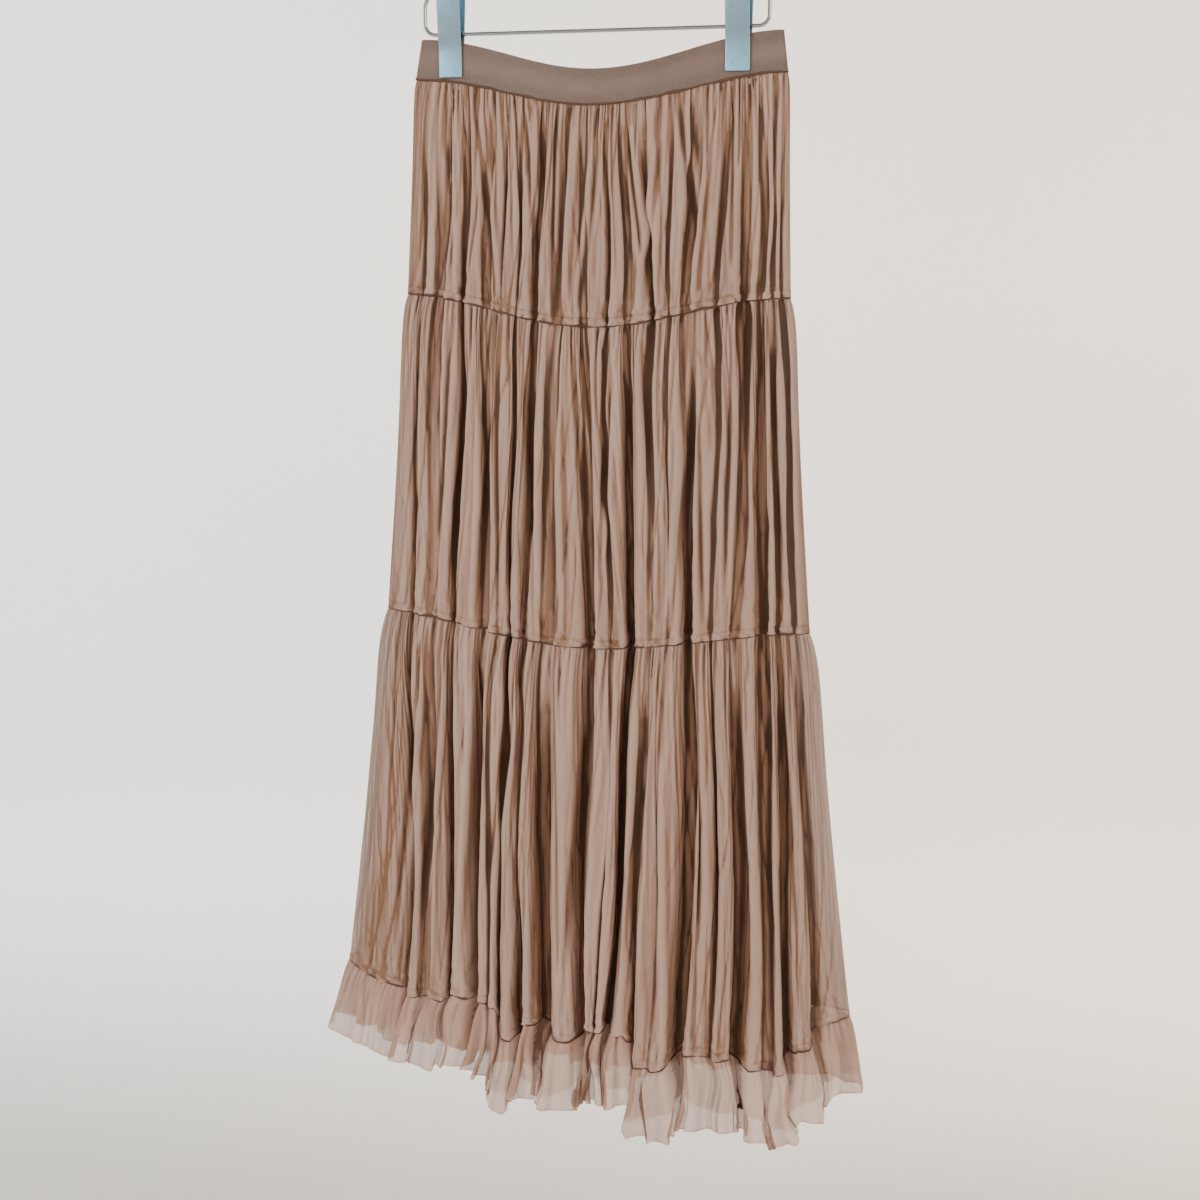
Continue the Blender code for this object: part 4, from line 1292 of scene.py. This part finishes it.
def band_grid(side):
    """The waistband as a closed loop of rows: its outer face, round its lower edge, its inner
    face, and round its upper edge, with columns closer together towards the side seams. Returns
    its points and its cloth map."""
    turn = np.linspace(-math.pi / 2, math.pi / 2, BAND_AROUND + 2)[1:-1]
    flat = np.linspace(BAND_ROUND, 1.0 - BAND_ROUND, BAND_ROWS)
    around = BAND_ROUND * np.cos(turn)
    share = np.concatenate([flat, 1.0 - BAND_ROUND + around, flat[::-1], BAND_ROUND - around])
    through = (1.0 + np.sin(turn)) / 2.0
    inward = np.concatenate([np.zeros(BAND_ROWS), through, np.ones(BAND_ROWS), 1.0 - through])
    even = np.linspace(-1.0, 1.0, BAND_COLUMNS)
    place = np.sign(even) * (1.0 - (1.0 - np.abs(even)) ** 2)
    place = np.repeat(place[None], len(share), axis=0)
    values = level_rows("band_top", "waist", share)
    points = section(values, place, side)
    fall = BAND_HEIGHT * share[:, None]
    uneven = BAND_UNEVEN * crumple(points[..., 0], fall, *BAND_UNEVEN_SPACES, 5)
    set_in = BAND_WALL * inward[:, None] + uneven + BAND_SET_IN
    points = points - outward(points, side) * set_in[..., None]
    height = level_height(values, place)
    grid = np.concatenate([points, height[..., None]], axis=2)
    return grid, (points[..., 0], -fall)


def seam_line(name, side, top, low, depths, hanging):
    """The dark seam line between two pieces, a strip of painted shade: a narrow ribbon along the
    folded level, bulging as a parabola and wavering in width and height."""
    folds = fold_table(side)
    steps = np.linspace(0.0, len(folds["waist"]) + 1, SEAM_POINTS)
    share = np.zeros(1)
    values = level_rows(top, low, share)
    place = column_places(steps, fold_places(folds, top, low, share))
    depth = np.atleast_2d(folds[depths] if depths else 0.0 * folds["waist"])
    drop = fold_drop(steps, depth, folds["floor"])
    points = folded(values, place, drop, side, lean_columns(steps, folds),
                    np.full((1, 1), -SEAM_LINE_IN))[0]
    arc = np.cumsum(np.linalg.norm(np.gradient(points[0], axis=0), axis=1))
    height = level_height(values, place) - hang_at(steps, folds, side) * hanging
    sway, sway_spacing = SEAM_SWAY
    swell, swell_spacing = SEAM_SWELL
    height = height + sway * wander(arc, sway_spacing, 11)
    across = np.linspace(-1.0, 1.0, SEAM_ROWS)[:, None]
    bulge = SEAM_BULGE * (1.0 - across ** 2)
    rows = np.zeros((SEAM_ROWS, SEAM_POINTS, 3))
    rows[..., :2] = points + outward(points, side) * bulge[..., None]
    rows[..., 2] = height - across * SEAM_LINE * (1.0 + swell * wander(arc, swell_spacing, 12))
    grid_piece(name, rows, (arc[None, :], -across), {}, side,
               finish_named("seam shade"))


def plate_grid(middle_x, side):
    """One plate of a clip as a closed loop of rows: its outer face, its inner face and two round
    edges, carried up the plate's line. The corners are quarter circles, and the ends close as
    half an ellipse."""
    lowest, highest = PLATE_LINE[0][0], PLATE_LINE[-1][0]
    end_rows = np.array(PLATE_END_ROWS)
    middle_rows = np.linspace(lowest + PLATE_END, highest - PLATE_END, PLATE_ROWS)
    height = np.concatenate([lowest + end_rows, middle_rows, highest - end_rows[::-1]])
    level = np.arange(lowest, highest + PLATE_STEP, PLATE_STEP)
    line = np.interp(level, *np.transpose(PLATE_LINE))
    stand = np.interp(height, level, blurred(line[None], PLATE_STEP, PLATE_BEND)[0])
    from_end = np.minimum(height - lowest, highest - height)
    corner = np.clip(PLATE_CORNER - from_end, 0.0, None)
    width = PLATE_HALF_WIDTH - PLATE_CORNER + np.sqrt(PLATE_CORNER ** 2 - corner ** 2)
    close = np.clip(1.0 - from_end / (PLATE_WALL / 2.0), 0.0, 1.0)
    thick = PLATE_WALL / 2.0 * np.sqrt(1.0 - close ** 2)
    flat = np.linspace(-1.0, 1.0, PLATE_ACROSS)
    level_face, edge = np.ones(PLATE_ACROSS), np.ones(PLATE_AROUND)
    turn = np.linspace(np.pi / 2.0, -np.pi / 2.0, PLATE_AROUND + 2)[1:-1]
    share = np.concatenate([flat, edge, flat[::-1], -edge])[:, None]
    over = np.concatenate([0.0 * level_face, np.cos(turn), 0.0 * level_face, -np.cos(turn)])
    out = np.concatenate([level_face, np.sin(turn), -level_face, -np.sin(turn)])[:, None]
    crown = PLATE_CROWN * (1.0 - share ** 2)
    points = np.empty((len(share), len(height), 3))
    points[..., 0] = middle_x + share * (width - thick) + over[:, None] * thick
    points[..., 1] = side * (stand + PLATE_WALL / 2.0 + crown + out * thick)
    points[..., 2] = height
    return points


class SKIRT_OT_waistband(bpy.types.Operator):
    """Make the knit waistband, front and back"""
    bl_idname = "skirt.waistband"
    bl_label = "Waistband"

    def execute(self, context):
        for side, label in SIDES:
            grid, uv = band_grid(side)
            piece = grid_piece(f"band_{label}", grid, uv, {}, side,
                               finish_named("knit band"), closed=True)
            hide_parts(f"waistband_{label}")
        return {"FINISHED"}


class SKIRT_OT_tiers(bpy.types.Operator):
    """Make the three gathered tiers, front and back"""
    bl_idname = "skirt.tiers"
    bl_label = "Tiers"

    def execute(self, context):
        for side, label in SIDES:
            for number, (node, *_, cut) in enumerate(TIERS):
                grid, uv, marks = tier_grid(number, side)
                piece = grid_piece(f"tulle_{number + 1}_{label}", grid, uv, marks, side,
                                   finish_named("tulle layered"),
                                   sheer=finish_named("tulle sheer"))
                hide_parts(f"{node}_{label}")
        return {"FINISHED"}


class SKIRT_OT_ruffle(bpy.types.Operator):
    """Make the sheer hem ruffle, front and back"""
    bl_idname = "skirt.ruffle"
    bl_label = "Hem Ruffle"

    def execute(self, context):
        for side, label in SIDES:
            grid, uv, marks = ruffle_grid(side)
            piece = grid_piece(f"ruffle_net_{label}", grid, uv, marks, side,
                               finish_named("tulle single"))
            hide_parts(f"ruffle_{label}")
        return {"FINISHED"}


class SKIRT_OT_seams(bpy.types.Operator):
    """Make the dark seam lines between the pieces, strips of painted shade"""
    bl_idname = "skirt.seams"
    bl_label = "Seam Lines"

    def execute(self, context):
        for side, label in SIDES:
            for name, *seam in SEAMS:
                seam_line(f"{name}_{label}", side, *seam)
        return {"FINISHED"}


class SKIRT_OT_hanger(bpy.types.Operator):
    """Make the clips' plates, and give the hanger's wire and barrels their finish"""
    bl_idname = "skirt.hanger"
    bl_label = "Hanger"

    def execute(self, context):
        for name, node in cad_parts.items():
            if name.startswith("hanger") or name.endswith("barrel"):
                node.data.materials.clear()
                node.data.materials.append(finish_named("polished wire"))
        for hand, middle_x in CLIP_X.items():
            for side, label in SIDES:
                grid = plate_grid(middle_x, side)
                piece = grid_piece(f"plate_{hand}_{label}", grid, (grid[..., 0], grid[..., 2]), {},
                                   side, finish_named("brushed plate"), closed=True)
                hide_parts(f"clip_{hand}_{label}")
        return {"FINISHED"}


def area_light(name, place, target, size, power, colour):
    """A soft rectangular light aimed at a point."""
    lamp = bpy.data.lights.new(name, "AREA")
    lamp.shape = "RECTANGLE"
    lamp.size, lamp.size_y = size
    lamp.energy = power
    lamp.color = colour
    holder = bpy.data.objects.new(name, lamp)
    bpy.context.scene.collection.objects.link(holder)
    away = np.array(place) - np.array(target)
    back = away / np.linalg.norm(away)
    right = np.cross((0.0, 0.0, 1.0), back)
    right /= np.linalg.norm(right)
    up = np.cross(back, right)
    turn = Matrix([[right[i], up[i], back[i], place[i]] for i in range(3)] + [[0, 0, 0, 1]])
    holder.matrix_world = turn


def floor_mesh():
    """The floor as a round bowl: flat, then a quarter circle up to an upright wall."""
    turns = np.linspace(0.0, 2.0 * np.pi, BOWL_COLUMNS)
    bend = np.linspace(0.0, math.pi / 2, BEND_ROWS)
    flat = np.linspace(BOWL_HOLE, BOWL_RADIUS - BOWL_BEND, FLAT_ROWS + 1)[:-1]
    radius = np.concatenate([flat, BOWL_RADIUS - BOWL_BEND * (1.0 - np.sin(bend)), [BOWL_RADIUS]])
    height = np.concatenate([0.0 * flat, BOWL_BEND * (1.0 - np.cos(bend)), [BOWL_HEIGHT]])
    grid = np.stack([radius[:, None] * np.cos(turns), radius[:, None] * np.sin(turns),
                     np.repeat(height[:, None] + FLOOR_Z, len(turns), axis=1)], axis=2)
    mesh = bpy.data.meshes.new("studio_floor")
    faces = grid_faces(len(radius), len(turns), -1)
    mesh.from_pydata(grid.reshape(-1, 3).tolist(), [], faces.tolist())
    mesh.shade_smooth()
    mesh.materials.append(finish_named("pale floor"))
    return mesh


def sky_world():
    """Even pale light from all sides."""
    world = bpy.data.worlds.new("Studio")
    world.use_nodes = True
    sky = world.node_tree.nodes["Background"]
    sky.inputs["Color"].default_value = opaque(SKY)
    sky.inputs["Strength"].default_value = SKY_STRENGTH
    return world


def photo_camera():
    """The camera at the photograph's place and angle."""
    lens = bpy.data.cameras.new("photo_view")
    lens.lens = LENS
    lens.sensor_width = FRAME_WIDTH
    camera = bpy.data.objects.new("photo_view", lens)
    camera.location = CAMERA_PLACE
    camera.rotation_euler = (math.radians(90.0 + CAMERA_PITCH), 0.0, math.radians(CAMERA_YAW))
    bpy.context.scene.collection.objects.link(camera)
    return camera


class SKIRT_OT_stage(bpy.types.Operator):
    """Make the pale floor, the soft lights and the camera"""
    bl_idname = "skirt.stage"
    bl_label = "Stage"

    def execute(self, context):
        floor = bpy.data.objects.new("studio_floor", floor_mesh())
        context.scene.collection.objects.link(floor)
        context.scene.world = sky_world()
        for name, *lamp in LAMPS:
            area_light(name, *lamp)
        context.scene.camera = photo_camera()
        return {"FINISHED"}


class SKIRT_PT_panel(bpy.types.Panel):
    """The skirt's steps and settings"""
    bl_idname = "SKIRT_PT_panel"
    bl_label = "Maxi Skirt"
    bl_space_type = "VIEW_3D"
    bl_region_type = "UI"
    bl_category = "Skirt"

    def draw(self, context):
        layout = self.layout
        for kind in OPERATORS:
            layout.operator(kind.bl_idname)
        for group in (context.scene.skirt_sizes, context.scene.skirt_colours):
            for name in group.__annotations__:
                layout.prop(group, name)


OPERATORS = (SKIRT_OT_waistband, SKIRT_OT_tiers, SKIRT_OT_ruffle, SKIRT_OT_seams,
             SKIRT_OT_hanger, SKIRT_OT_stage)
CLASSES = (SkirtSizes, SkirtColours, *OPERATORS, SKIRT_PT_panel)


def register():
    for kind in CLASSES:
        bpy.utils.register_class(kind)
    bpy.types.Scene.skirt_sizes = PointerProperty(type=SkirtSizes)
    bpy.types.Scene.skirt_colours = PointerProperty(type=SkirtColours)


def unregister():
    del bpy.types.Scene.skirt_colours
    del bpy.types.Scene.skirt_sizes
    for kind in reversed(CLASSES):
        bpy.utils.unregister_class(kind)


def main():
    register()
    bpy.ops.skirt.waistband()
    bpy.ops.skirt.tiers()
    bpy.ops.skirt.ruffle()
    bpy.ops.skirt.seams()
    bpy.ops.skirt.hanger()
    bpy.ops.skirt.stage()


if __name__ == "__main__":
    main()
